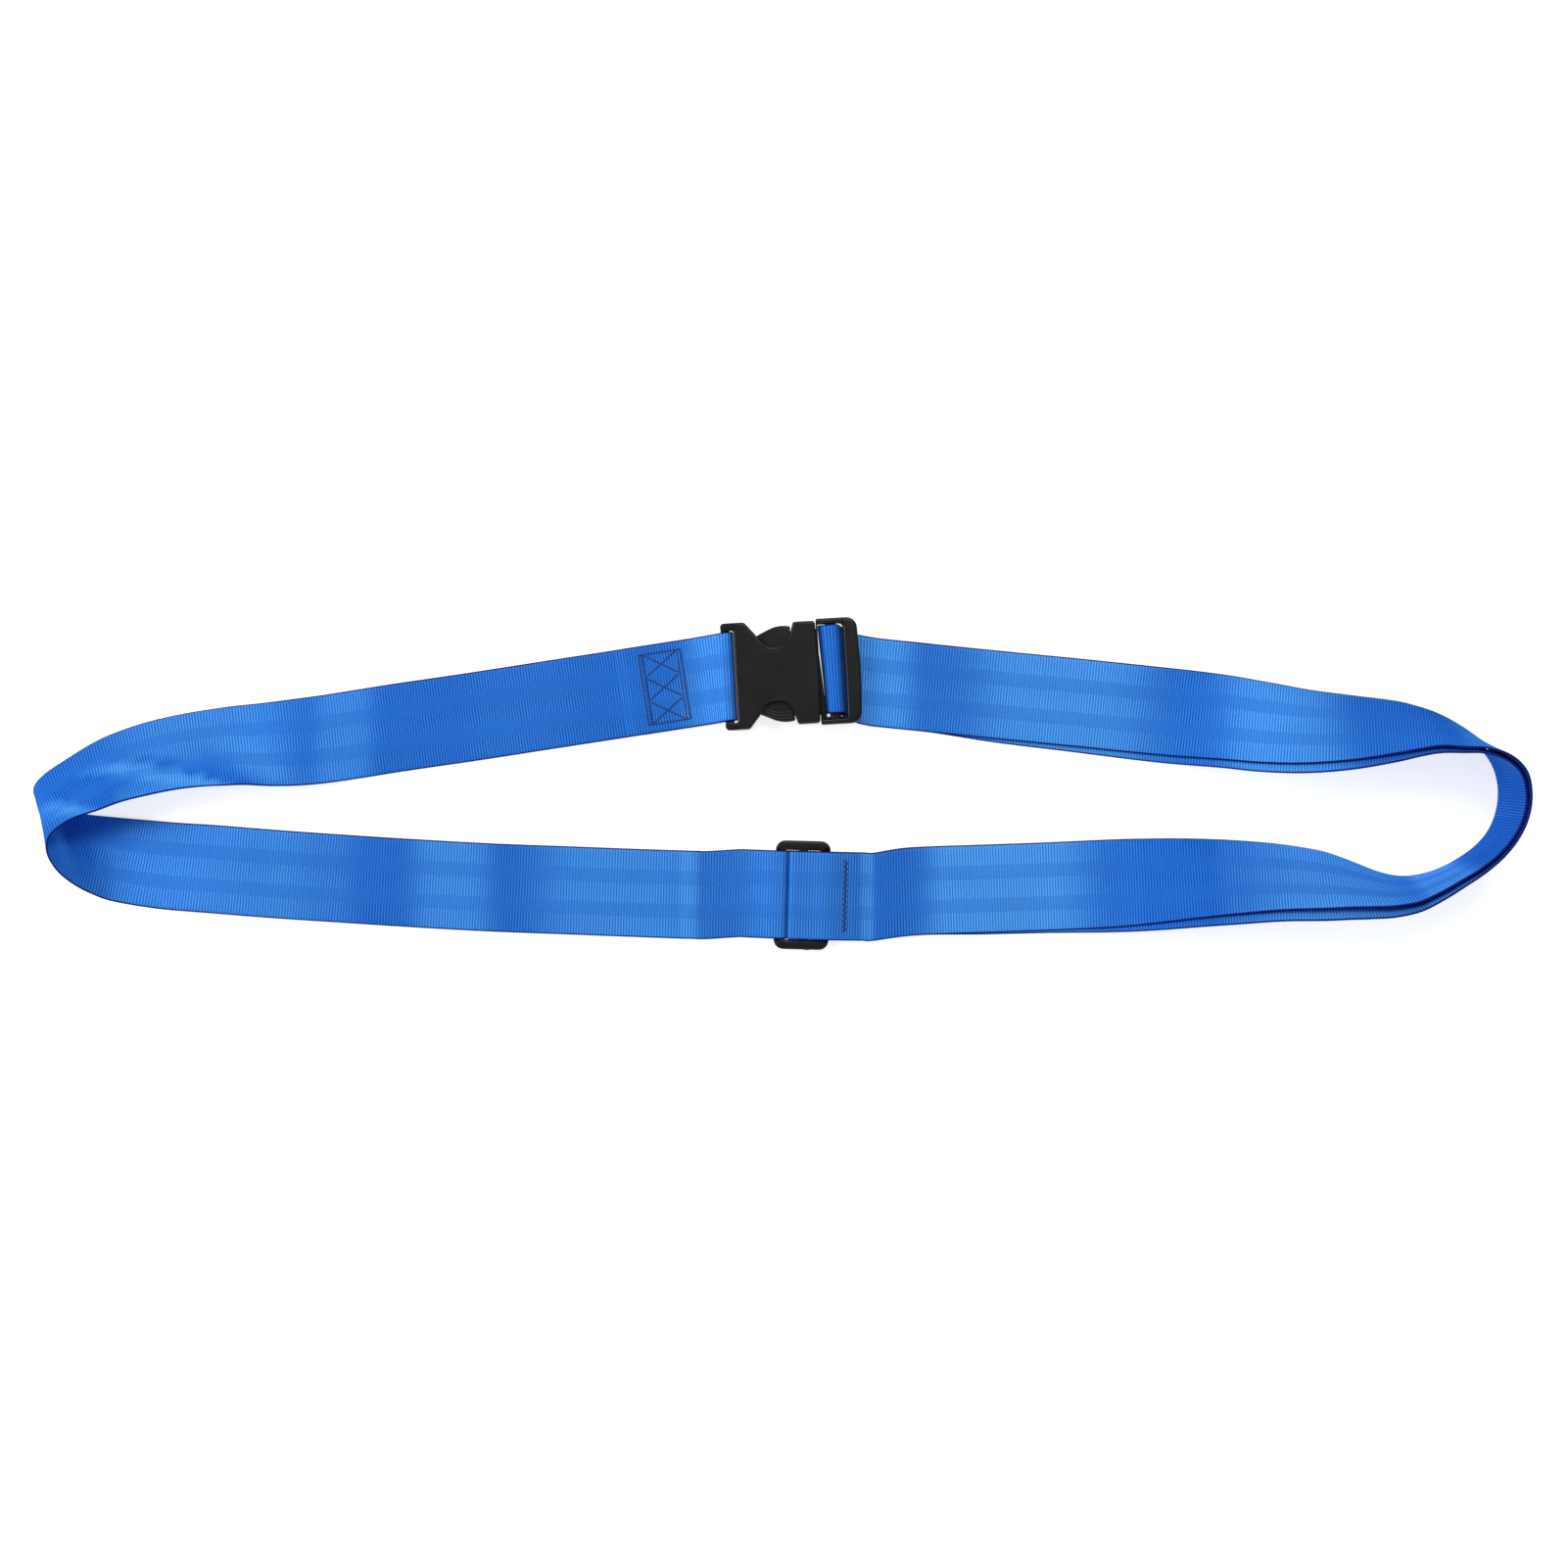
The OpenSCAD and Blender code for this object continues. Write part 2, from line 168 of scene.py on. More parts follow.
def loft(rings: Array, joined: bool = False) -> Skin:
    """Quads over a grid of rings, closed round each ring.

    Args:
        rings: (rings, points per ring, 3).
        joined: the last ring goes on to the first; otherwise flat ends close the skin.

    Returns:
        The closed skin, facing out.
    """
    rows, columns = rings.shape[:2]
    i, j = np.meshgrid(np.arange(rows if joined else rows - 1), np.arange(columns), indexing="ij")
    below, beside = (i + 1) % rows, (j + 1) % columns
    quads = np.stack(
        [i * columns + j, i * columns + beside, below * columns + beside, below * columns + j], -1
    ).reshape(-1, 4)
    first = np.arange(columns)
    ends = [] if joined else [first[::-1], first + (rows - 1) * columns]
    return Skin(rings.reshape(-1, 3), quads, ends).facing_out()


def rounded(corners: list[tuple[float, float, float]], steps: int = 6) -> Array:
    """Outline with each corner replaced by an arc that touches both its sides.

    The arc's middle is on the line that halves the corner, its radius over the sine of half
    the corner's angle away.

    Args:
        corners: x, y and radius of each corner, in order round the outline.
        steps: spans in each arc.

    Returns:
        The outline's points, the same number for every corner.
    """
    table = np.asarray(corners, float)
    at, radius = table[:, :2], table[:, 2:]
    before, after = unit(np.roll(at, 1, 0) - at), unit(np.roll(at, -1, 0) - at)
    half = 0.5 * np.arccos(np.clip(np.sum(before * after, 1, keepdims=True), -1, 1))
    middle = at + unit(before + after) * radius / np.sin(half)
    start = at + before * radius / np.tan(half) - middle
    stop = at + after * radius / np.tan(half) - middle
    sweep = (math.pi - 2 * half)[:, None]
    t = (np.arange(steps + 1) / steps)[None, :, None]
    arc = np.sin((1 - t) * sweep) * start[:, None] + np.sin(t * sweep) * stop[:, None]
    return (middle[:, None] + arc / np.sin(sweep)).reshape(-1, 2)


def mitres(outline: Array) -> Array:
    """Outward mitre of each point of a closed outline.

    Moving every point by its mitre moves every side outwards by one.

    Args:
        outline: (n, 2), in either direction.

    Returns:
        (n, 2) mitre vectors.
    """
    coming = np.roll(outline, -1, 0)
    side = coming - outline
    turn = np.sign(np.sum(outline[:, 0] * coming[:, 1] - outline[:, 1] * coming[:, 0]))
    out = unit(np.stack([side[:, 1], -side[:, 0]], -1)) * turn
    last = np.roll(out, 1, 0)
    return (out + last) / (1 + np.sum(out * last, 1, keepdims=True))


def edge_profile(low: float, high: float, round_low: float, round_high: float, steps: int = 4) -> Array:
    """Inset and height up a moulded edge: a quarter round, a straight wall, a quarter round.

    Args:
        low: height of the underside.
        high: height of the top.
        round_low: radius of the lower round.
        round_high: radius of the upper round.
        steps: spans in each round.

    Returns:
        (k, 2) insets and heights, with one more flat step at each end.
    """
    flat = 0.08
    angle = np.linspace(0, math.pi / 2, steps + 1)
    under = np.stack([round_low * (1 - np.sin(angle)), low + round_low * (1 - np.cos(angle))], -1)
    over = np.stack([round_high * (1 - np.cos(angle)), high - round_high * (1 - np.sin(angle))], -1)
    first, last = [[round_low + flat, low]], [[round_high + flat, high]]
    return np.concatenate([first, under, over, last])


def plate(outline: Array, profile: Array) -> Skin:
    """An outline carried up a profile: at each level it is drawn in by the profile's inset.

    Args:
        outline: (n, 2).
        profile: (k, 2) insets and heights.

    Returns:
        The closed plate, with a flat underside and top.
    """
    out = mitres(outline)
    plan = outline[None] - out[None] * profile[:, None, :1]
    height = np.broadcast_to(profile[:, None, 1:], plan.shape[:2] + (1,))
    return loft(np.concatenate([plan, height], -1))


def frame_ring(outer: Array, inner: Array, low: Array, high: Array, radius: float) -> Skin:
    """A frame: a section with rounded corners carried round between two outlines.

    The section's point is outer + (inner - outer) x share + a set-back, where the set-back
    and the height follow quarter rounds at the four corners.

    Args:
        outer: (n, 2) outer outline.
        inner: (n, 2) hole, matched point for point.
        low: height of the underside, one number or (n,).
        high: height of the top, one number or (n,).
        radius: of the rounds, held below SLENDER times the section's size.

    Returns:
        The closed frame.
    """
    reach = np.linalg.norm(inner - outer, axis=1)
    inward = (inner - outer) / reach[:, None]
    low, high = np.broadcast_to(low, reach.shape), np.broadcast_to(high, reach.shape)
    size = np.minimum(radius, SLENDER * np.minimum(reach, high - low))
    angle = np.linspace(0, math.pi / 2, 5)
    sine, cosine = np.sin(angle), np.cos(angle)
    corners = [
        (0.0, (1 - cosine)[::-1], 0.0, (1 - sine)[::-1]),
        (0.0, 1 - cosine, 1.0, -(1 - sine)),
        (1.0, -(1 - cosine)[::-1], 1.0, -(1 - sine)[::-1]),
        (1.0, -(1 - cosine), 0.0, 1 - sine),
    ]
    rings = []
    for side, along, top, up in corners:
        across = side * reach[:, None] + along[None] * size[:, None]
        height = np.where(top > 0, high, low)[:, None] + up[None] * size[:, None]
        plan = outer[:, None] + inward[:, None] * across[..., None]
        rings.append(np.concatenate([plan, height[..., None]], -1))
    return loft(np.concatenate(rings, axis=1), joined=True)


def bar_across(x0: float, x1: float, z0: float, z1: float, half: float, radius: float) -> Skin:
    """A bar that runs across the webbing, with a rounded section.

    Args:
        x0: its near side.
        x1: its far side.
        z0: its underside.
        z1: its top.
        half: half its length, along y.
        radius: of its section's corners.

    Returns:
        The closed bar.
    """
    section = rounded([(x0, z0, radius), (x1, z0, radius), (x1, z1, radius), (x0, z1, radius)])
    return loft(np.stack([np.insert(section, 1, y, axis=1) for y in (-half, half)]))


def bead(path: Array, wide: float, high: float) -> Skin:
    """A low half-round ridge carried along a path, with its foot sunk a little.

    Args:
        path: (n, 3) line of its foot.
        wide: width at the foot.
        high: height over the foot, tapered to nothing at both ends.

    Returns:
        The closed ridge.
    """
    run = np.gradient(path, axis=0)
    side = unit(np.stack([-run[:, 1], run[:, 0], np.zeros(len(path))], -1))
    share = np.linspace(0, 1, len(path))
    fade = np.sqrt(eased(share, 0, 0.12) * eased(1 - share, 0, 0.12))
    angle = np.linspace(0, 2 * math.pi, 8, endpoint=False)
    up = high * np.sin(angle)[None] * fade[:, None] - 0.02
    points = path[:, None] + side[:, None] * (wide / 2 * np.cos(angle))[None, :, None]
    points[..., 2] += up
    return loft(points)


def thread_tube(path: Array, radius: float, sides: int = 6) -> Skin:
    """A round thread carried along a path that stays close to level.

    Args:
        path: (n, 3) line of its middle.
        radius: of the thread.
        sides: flats round it.

    Returns:
        The closed thread.
    """
    run = unit(np.gradient(path, axis=0))
    side = unit(np.stack([-run[:, 1], run[:, 0], np.zeros(len(path))], -1))
    up = np.cross(run, side)
    angle = np.linspace(0, 2 * math.pi, sides, endpoint=False)[None, :, None]
    return loft(path[:, None] + radius * (side[:, None] * np.cos(angle) + up[:, None] * np.sin(angle)))


def stitched(corners: Array, stitch: float, rise: float, samples: int = 6) -> Array:
    """Line of a lockstitch: each leg is split into whole stitches that arch out of the cloth.

    Over one stitch the height is rise x sin(pi t) ^ 0.7, from a hole at t = 0 to one at t = 1.

    Args:
        corners: (n, 3) where the seam turns.
        stitch: wanted length of a stitch.
        rise: how far a stitch arches over its holes.
        samples: points per stitch.

    Returns:
        (m, 3) points of the thread's middle.
    """
    legs = []
    for start, stop in zip(corners[:-1], corners[1:]):
        count = max(1, round(float(np.linalg.norm(stop - start)) / stitch))
        t = np.arange(count * samples)[:, None] / (count * samples)
        arch = rise * np.abs(np.sin(math.pi * t * count)) ** 0.7
        legs.append(start + (stop - start) * t + arch * np.array([0, 0, 1.0]))
    return np.concatenate([*legs, corners[-1:]])


# ---- meshes ------------------------------------------------------------------------------


def fill_mesh(name: str, skins: list[Skin], crease_deg: float = MOULDED_CREASE) -> bpy.types.Object:
    """One object from several skins, in metres and shaded smooth up to an angle.

    Args:
        name: the object's name.
        skins: its closed skins.
        crease_deg: edges sharper than this stay sharp.

    Returns:
        The new object, at the origin, in the scene.
    """
    starts = np.cumsum([0] + [len(skin.points) for skin in skins])
    quads = np.concatenate([skin.quads + at for skin, at in zip(skins, starts)])
    ends = [end + at for skin, at in zip(skins, starts) for end in skin.ends]
    corners = np.concatenate([quads.ravel(), *ends]).astype(np.int32)
    sizes = np.concatenate([np.full(len(quads), 4), [len(end) for end in ends]]).astype(np.int32)
    mesh = bpy.data.meshes.new(name)
    points = np.concatenate([skin.points for skin in skins]) * MM
    mesh.vertices.add(len(points))
    mesh.vertices.foreach_set("co", points.astype(np.float32).ravel())
    mesh.loops.add(len(corners))
    mesh.loops.foreach_set("vertex_index", corners)
    mesh.polygons.add(len(sizes))
    first = np.concatenate([[0], np.cumsum(sizes)[:-1]]).astype(np.int32)
    mesh.polygons.foreach_set("loop_start", first)
    mesh.update(calc_edges=True)
    mesh.validate()
    mesh.shade_smooth()
    mesh.set_sharp_from_angle(angle=math.radians(crease_deg))
    piece = bpy.data.objects.new(name, mesh)
    bpy.context.scene.collection.objects.link(piece)
    return piece


class Work(Enum):
    """What a tool body does to a moulding."""

    ADD = "UNION"
    CUT = "DIFFERENCE"


def worked(name: str, blank: list[Skin], steps: list[tuple[Work, Skin]], extra: list[Skin],
           place: Seat, bevel: float = 0.3) -> bpy.types.Object:
    """A moulding: a blank, cut and added to with closed skins, with its cut edges broken.

    Args:
        name: the finished object's name.
        blank: closed skins to start from.
        steps: what is added or cut, in order.
        extra: closed skins laid on at the end, such as ridges.
        place: where the moulding's own frame lies.
        bevel: width that breaks each cut edge.

    Returns:
        The finished object, with no modifier left on it.
    """
    piece = fill_mesh(name, [place.moved(skin) for skin in blank])
    tools = []
    for work, skin in steps:
        tool = fill_mesh(name + "_tool", [place.moved(skin)])
        tools.append(tool)
        step = piece.modifiers.new(work.name, "BOOLEAN")
        step.operation = work.value
        step.solver = "EXACT"
        step.object = tool
    broken = piece.modifiers.new("broken_edges", "BEVEL")
    broken.width = bevel * MM
    broken.segments = 2
    broken.limit_method = "ANGLE"
    broken.angle_limit = math.radians(50)
    broken.use_clamp_overlap = True
    graph = bpy.context.evaluated_depsgraph_get()
    done = bpy.data.meshes.new_from_object(piece.evaluated_get(graph))
    piece.modifiers.clear()
    piece.data = done
    for tool in tools:
        bpy.data.objects.remove(tool)
    if extra:
        laid = fill_mesh(name + "_extra", [place.moved(skin) for skin in extra])
        with bpy.context.temp_override(active_object=piece, selected_editable_objects=[piece, laid]):
            bpy.ops.object.join()
    piece.data.shade_smooth()
    piece.data.set_sharp_from_angle(angle=math.radians(MOULDED_CREASE))
    return piece


@dataclass(frozen=True)
class Seat:
    """Where a moulding's own frame lies on the table.

    Attributes:
        at: its origin.
        turn: angle of its u axis to the table's x, in degrees.
    """

    at: tuple[float, float, float]
    turn: float

    def place(self, local: Array) -> Array:
        """Points of the moulding's frame in the table's: turned about z, then moved."""
        c, s = math.cos(math.radians(self.turn)), math.sin(math.radians(self.turn))
        return local @ np.array([[c, s, 0], [-s, c, 0], [0, 0, 1]]) + np.array(self.at)

    def moved(self, skin: Skin) -> Skin:
        """The skin, placed on the table."""
        return Skin(self.place(skin.points), skin.quads, list(skin.ends))

    def stations(self, rows: list[tuple[float, ...]]) -> Array:
        """Pairs of webbing edge points across the moulding's axis.

        Args:
            rows: u, z, and optionally v and a skew of the width in degrees.

        Returns:
            (n, 2, 3) edge points on the table, the one on the +v side first.
        """
        table = np.array([tuple(row) + (0.0,) * (4 - len(row)) for row in rows])
        middle = self.place(table[:, [0, 2, 1]])
        angle = np.radians(self.turn + table[:, 3])
        half = np.stack([-np.sin(angle), np.cos(angle), 0 * angle], -1) * WIDTH / 2
        return np.stack([middle + half, middle - half], 1)


BUCKLE = Seat((12.0, 62.0, 0.0), 3.3)
SLIDER = Seat((17.5, -62.5, 0.0), -1.5)


# ---- finishes ----------------------------------------------------------------------------


def colour(code: str) -> tuple[float, float, float, float]:
    """An sRGB hex colour as the linear colour that a shader takes.

    Args:
        code: six hex digits after a hash.

    Returns:
        Linear red, green and blue, and an alpha of 1.
    """
    shown = np.array([int(code[k : k + 2], 16) for k in (1, 3, 5)]) / 255
    linear = np.where(shown <= 0.04045, shown / 12.92, ((shown + 0.055) / 1.055) ** 2.4)
    return (*linear.tolist(), 1.0)


def add_node(tree: bpy.types.NodeTree, kind: str, settings: dict | None = None,
             inputs: dict | None = None) -> bpy.types.Node:
    """Adds one shader node.

    Args:
        tree: the material's node tree.
        kind: the node's type without its "ShaderNode" start.
        settings: the node's properties; "stops" are a ramp's positions and colours, in order.
        inputs: for each input, by name or number, its fixed value, or the output that feeds
            it, or a node whose first output does.

    Returns:
        The new node.
    """
    node = tree.nodes.new("ShaderNode" + kind)
    settings = dict(settings or {})
    for number, (position, shade) in enumerate(settings.pop("stops", ())):
        if number == len(node.color_ramp.elements):
            node.color_ramp.elements.new(1.0)
        node.color_ramp.elements[number].position = position
        node.color_ramp.elements[number].color = shade
    for key, value in settings.items():
        setattr(node, key, value)
    for key, value in (inputs or {}).items():
        if isinstance(value, bpy.types.Node):
            value = value.outputs[0]
        if isinstance(value, bpy.types.NodeSocket):
            tree.links.new(value, node.inputs[key])
        else:
            node.inputs[key].default_value = value
    return node


def new_material(name: str) -> tuple[bpy.types.Material, bpy.types.NodeTree]:
    """An empty material that uses nodes.

    Args:
        name: the material's name.

    Returns:
        The material and its cleared node tree.
    """
    material = bpy.data.materials.new(name)
    material.use_nodes = True
    material.node_tree.nodes.clear()
    return material, material.node_tree


@dataclass(frozen=True)
class WovenPolyester:
    """Dyed polyester webbing, woven in five panels with raised cross ribs.

    The filling yarns make the ribs; their crests are painted lighter as a painted highlight, and the
    sunk warp between them is painted darker as painted shade. The two smooth panels show less of either.
    An attribute on the points paints sheen in bands along the strip and on the waves' slopes, and
    painted shade where it is low. The selvedges are navy, painted darker still as shade of the rounded
    edges.
    """

    name: str = "woven_polyester_webbing"
    # The webbing's blue, lighter on the crests as a painted highlight and darker in the valleys as
    # painted shade; the second pair adds painted sheen.
    crest_painted_highlight: str = "#2a74d2"
    valley_painted_shade: str = "#144298"
    crest_painted_highlight_and_sheen: str = "#5aa6f2"
    valley_painted_shade_and_sheen: str = "#2a70c4"
    # Navy selvedge, also painted darker as the shade of the rounded edge and its shadow on the table.
    selvedge_navy_and_edge_shade: str = "#16226c"
    edge_shade_and_selvedge_from: float = 0.966  # share of the way from the middle line to the edge
    panel_relief: float = 0.42  # how much the smooth panels show of the ribs and of their painted highlight and shade
    panel_level: float = 0.42  # how far the smooth panels lean to the valleys' painted shade all over, half being the ribs' mean
    panel_shine: float = 0.35  # share of the painted sheen that cloth with no relief at all would show
    panel_step: float = 0.01  # half the step between panels, as a share of half the width
    fleck: float = 0.6  # how much one yarn differs from the next
    dye: float = 0.2  # how much the dye changes slowly over dye_mm
    dye_mm: tuple[float, float] = (30.0, 70.0)
    lustre: float = 0.22  # share of the light that the yarns' faces send back in their own colour
    edge_glow: str = "#2c62b4"
    rough_ribbed: float = 0.42
    rough_smooth: float = 0.5
    yarn_mm: float = 0.62  # warp yarns lie this far apart
    yarn_depth_mm: float = 0.12

    def make(self) -> bpy.types.Material:
        """Builds the material; it reads the cloth's along_mm and across_mm attributes and its
        painted-sheen attribute.
        """
        material, tree = new_material(self.name)
        times, plus, scaled = ({"operation": kind} for kind in ("MULTIPLY", "ADD", "MULTIPLY_ADD"))
        cosine, over, rgba = {"operation": "COSINE"}, {"operation": "DIVIDE"}, {"data_type": "RGBA"}
        along, across, painted_sheen = (
            add_node(tree, "Attribute", {"attribute_name": name}).outputs["Fac"]
            for name in ("along_mm", "across_mm", "painted_sheen"))
        # Ribs: a cosine along the strip, weaker on the smooth panels, that paints the crests lighter as
        # a painted highlight and the valleys darker as painted shade.
        angle = add_node(tree, "Math", times, {0: along, 1: 2 * math.pi / RIB})
        wave = add_node(tree, "Math", cosine, {0: angle})
        crest = add_node(tree, "Math", scaled, {0: wave, 1: 0.5, 2: 0.5})
        beside = add_node(tree, "Math", {"operation": "ABSOLUTE"}, {0: across})
        off = add_node(tree, "Math", over, {0: beside, 1: WIDTH / 2})
        a, b = (edge / (WIDTH / 2) for edge in PANEL_EDGES)
        full, part = (1.0, 1.0, 1.0, 1.0), (self.panel_relief,) * 3 + (1.0,)
        stops = [(0, full), (a - self.panel_step, full), (a + self.panel_step, part),
                 (b - self.panel_step, part), (b + self.panel_step, full)]
        relief = add_node(tree, "ValToRGB", {"stops": stops}, {0: off})
        # How far each point leans to the valleys' painted shade.
        sunk = add_node(tree, "Math", {"operation": "SUBTRACT"}, {0: 1.0 - self.panel_level, 1: crest})
        sunk = add_node(tree, "Math", times, {0: sunk, 1: relief})
        sunk = add_node(tree, "Math", plus, {0: sunk, 1: self.panel_level})
        # Painted sheen: brighter crests and valleys, less on the smooth panels.
        share = add_node(tree, "Math", scaled, {
            0: relief, 1: 1.0 - self.panel_shine, 2: self.panel_shine})
        lit = add_node(tree, "Math", times, {0: painted_sheen, 1: share})
        shades = [
            add_node(tree, "Mix", rgba, {0: lit, 6: colour(dull), 7: colour(bright)}).outputs[2]
            for dull, bright in ((self.crest_painted_highlight, self.crest_painted_highlight_and_sheen),
                                 (self.valley_painted_shade, self.valley_painted_shade_and_sheen))]
        body = add_node(tree, "Mix", rgba, {0: sunk, 6: shades[0], 7: shades[1]}).outputs[2]
        # Yarn to yarn differences: one value per yarn and rib, plus slow changes of dye.
        noises = []
        for (wide, long), detail in (((self.yarn_mm, RIB), {"Detail": 2.0, "Roughness": 0.7}),
                                     (self.dye_mm, {"Detail": 3.0})):
            place = add_node(tree, "CombineXYZ", None, {
                0: add_node(tree, "Math", over, {0: across, 1: wide}),
                1: add_node(tree, "Math", over, {0: along, 1: long})})
            noises.append(add_node(tree, "TexNoise", None, {"Scale": 1.0, "Vector": place, **detail}))
        fleck, dye = noises
        value = add_node(tree, "Math", scaled, {0: fleck, 1: self.fleck, 2: 0.6})
        slow = add_node(tree, "Math", times, {0: dye, 1: self.dye})
        value = add_node(tree, "Math", plus, {0: value, 1: slow})
        toned = add_node(tree, "HueSaturation", None, {"Value": value, "Color": body})
        # Navy selvedge with painted edge shade on the outermost share of each side.
        edge = add_node(tree, "Math", {"operation": "GREATER_THAN"}, {0: off, 1: self.edge_shade_and_selvedge_from})
        shade = add_node(tree, "Mix", rgba, {0: edge, 6: toned, 7: colour(self.selvedge_navy_and_edge_shade)}).outputs[2]
        change = 2 * (self.rough_ribbed - self.rough_smooth)
        rough = add_node(tree, "Math", scaled, {
            0: relief, 1: change, 2: 2 * self.rough_smooth - self.rough_ribbed})
        # Warp yarns: a finer cosine across the strip, under the flecks.
        angle = add_node(tree, "Math", times, {0: across, 1: 2 * math.pi / self.yarn_mm})
        yarn = add_node(tree, "Math", cosine, {0: angle})
        height = add_node(tree, "Math", scaled, {0: yarn, 1: 0.25, 2: fleck})
        bump = add_node(tree, "Bump", None, {
            "Strength": 0.55, "Distance": self.yarn_depth_mm * MM, "Height": height})
        skin = add_node(tree, "BsdfPrincipled", None, {
            "Base Color": shade, "Roughness": rough, "Normal": bump, "IOR": 1.52,
            "Specular IOR Level": 0.0, "Metallic": self.lustre, "Specular Tint": colour(self.edge_glow)})
        add_node(tree, "OutputMaterial", None, {"Surface": skin})
        return material


@dataclass(frozen=True)
class MouldedAcetal:
    """Black acetal, injection moulded with a fine spark texture: satin, with worn high spots."""

    name: str = "moulded_acetal"
    base: str = "#0b0a0c"
    rubbed: str = "#141415"
    roughness: float = 0.36
    rubbing: float = 0.12  # how much the roughness changes where hands have polished it
    rubbed_mm: float = 1000 / 60  # across one polished patch
    grain_mm: float = 0.5  # the real spark texture is near 0.1 mm, drawn coarser so that it shows
    grain_depth_mm: float = 0.05

    def make(self) -> bpy.types.Material:
        """Builds the material on Object coordinates."""
        material, tree = new_material(self.name)
        place = add_node(tree, "TexCoord").outputs["Object"]
        grain, cloud = (
            add_node(tree, "TexNoise", None, {
                "Scale": 1 / (size * MM), "Detail": detail, "Vector": place})
            for size, detail in ((self.grain_mm, 2.0), (self.rubbed_mm, 3.0)))
        shade = add_node(tree, "Mix", {"data_type": "RGBA"}, {
            0: cloud, 6: colour(self.base), 7: colour(self.rubbed)}).outputs[2]
        rough = add_node(tree, "Math", {"operation": "MULTIPLY_ADD"}, {
            0: cloud, 1: self.rubbing, 2: self.roughness - self.rubbing / 2})
        bump = add_node(tree, "Bump", None, {
            "Strength": 0.12, "Distance": self.grain_depth_mm * MM, "Height": grain})
        skin = add_node(tree, "BsdfPrincipled", None, {
            "Base Color": shade, "Roughness": rough, "Normal": bump, "IOR": 1.48,
            "Specular IOR Level": 0.25})
        add_node(tree, "OutputMaterial", None, {"Surface": skin})
        return material


@dataclass(frozen=True)
class SewingThread:
    """Bonded polyester sewing thread: a tight twist with a faint shine."""

    name: str = "bonded_polyester_thread"
    light: str = "#18246e"
    dark: str = "#0a0f3c"
    twist_mm: float = 0.5
    twist_depth_mm: float = 0.08

    def make(self) -> bpy.types.Material:
        """Builds the material on Object coordinates."""
        material, tree = new_material(self.name)
        place = add_node(tree, "TexCoord").outputs["Object"]
        ply = add_node(tree, "TexNoise", None, {
            "Scale": 1 / (self.twist_mm * MM), "Detail": 1.0, "Vector": place})
        stops = [(0.35, colour(self.dark)), (0.65, colour(self.light))]
        shade = add_node(tree, "ValToRGB", {"stops": stops}, {0: ply})
        bump = add_node(tree, "Bump", None, {
            "Strength": 0.3, "Distance": self.twist_depth_mm * MM, "Height": ply})
        skin = add_node(tree, "BsdfPrincipled", None, {
            "Base Color": shade, "Roughness": 0.5, "Normal": bump})
        add_node(tree, "OutputMaterial", None, {"Surface": skin})
        return material


@dataclass(frozen=True)
class PaintedTable:
    """White matt sweep under the strap."""

    name: str = "white_sweep"
    paint: str = "#c4c4c4"
    light: str = "#ffffff"
    glow: float = 0.7  # the sweep is lit from behind, so that it stays white

    def make(self) -> bpy.types.Material:
        """Builds the plain white paint."""
        material, tree = new_material(self.name)
        skin = add_node(tree, "BsdfPrincipled", None, {
            "Base Color": colour(self.paint), "Roughness": 0.9, "Specular IOR Level": 0.0,
            "Emission Color": colour(self.light), "Emission Strength": self.glow})
        add_node(tree, "OutputMaterial", None, {"Surface": skin})
        return material


# ---- the webbing ---------------------------------------------------------------------------


class Held(Enum):
    """How a length of webbing is held."""

    LAID = "laid"
    FOLDED = "folded"


@dataclass(frozen=True)
class Follow:
    """What a length of webbing moves with.

    Attributes:
        body: the body it rides on when no other is given.
        other: a second body; a piece that has one is left where it lies, on no body.
        start: where it begins to leave the first body, x and y; not used.
        stop: where it wholly follows the other, x and y; not used.
    """

    body: str
    other: str = ""
    start: tuple[float, float] = (0.0, 0.0)
    stop: tuple[float, float] = (0.0, 0.0)

    def attach(self, piece: bpy.types.Object) -> None:
        """Rides the piece on its body, or, where there are two bodies, leaves it where it lies."""
        if not self.other:
            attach(piece, self.body)
            return
        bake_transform(piece)


@dataclass(frozen=True)
class Length:
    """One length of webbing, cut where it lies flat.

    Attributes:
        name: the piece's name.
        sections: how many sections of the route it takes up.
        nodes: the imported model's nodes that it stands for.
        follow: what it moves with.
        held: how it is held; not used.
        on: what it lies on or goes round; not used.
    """

    name: str
    sections: int
    nodes: tuple[str, ...]
    follow: Follow
    held: Held
    on: tuple[str, ...]


@dataclass(frozen=True)
class Wave:
    """A soft undulation of the cloth, a hill that fades along and across.

    Attributes:
        section: the route section that it is in.
        along: from that section's start to its middle.
        reach: how far it fades along.
        across: its middle across the webbing, from the middle line.
        spread: how far it fades across.
        slant: millimetres along for each millimetre across.
        height: how far it pushes the cloth along its face.
    """

    section: int
    along: float
    reach: float
    across: float
    spread: float
    slant: float
    height: float


class Run(Enum):
    """Which long side of the laid loop, by the sign of y beyond its middle line."""

    TOP = 1
    BOTTOM = -1


@dataclass(frozen=True)
class PaintedSheen:
    """A band of painted sheen on the webbing, or of painted shade where amount is below 0.

    Attributes:
        run: the side of the loop that it is on.
        x: its middle on the table.
        reach: half its length.
        amount: how much it adds to the painted sheen, which runs from 0 to 1.
    """

    run: Run
    x: float
    reach: float
    amount: float


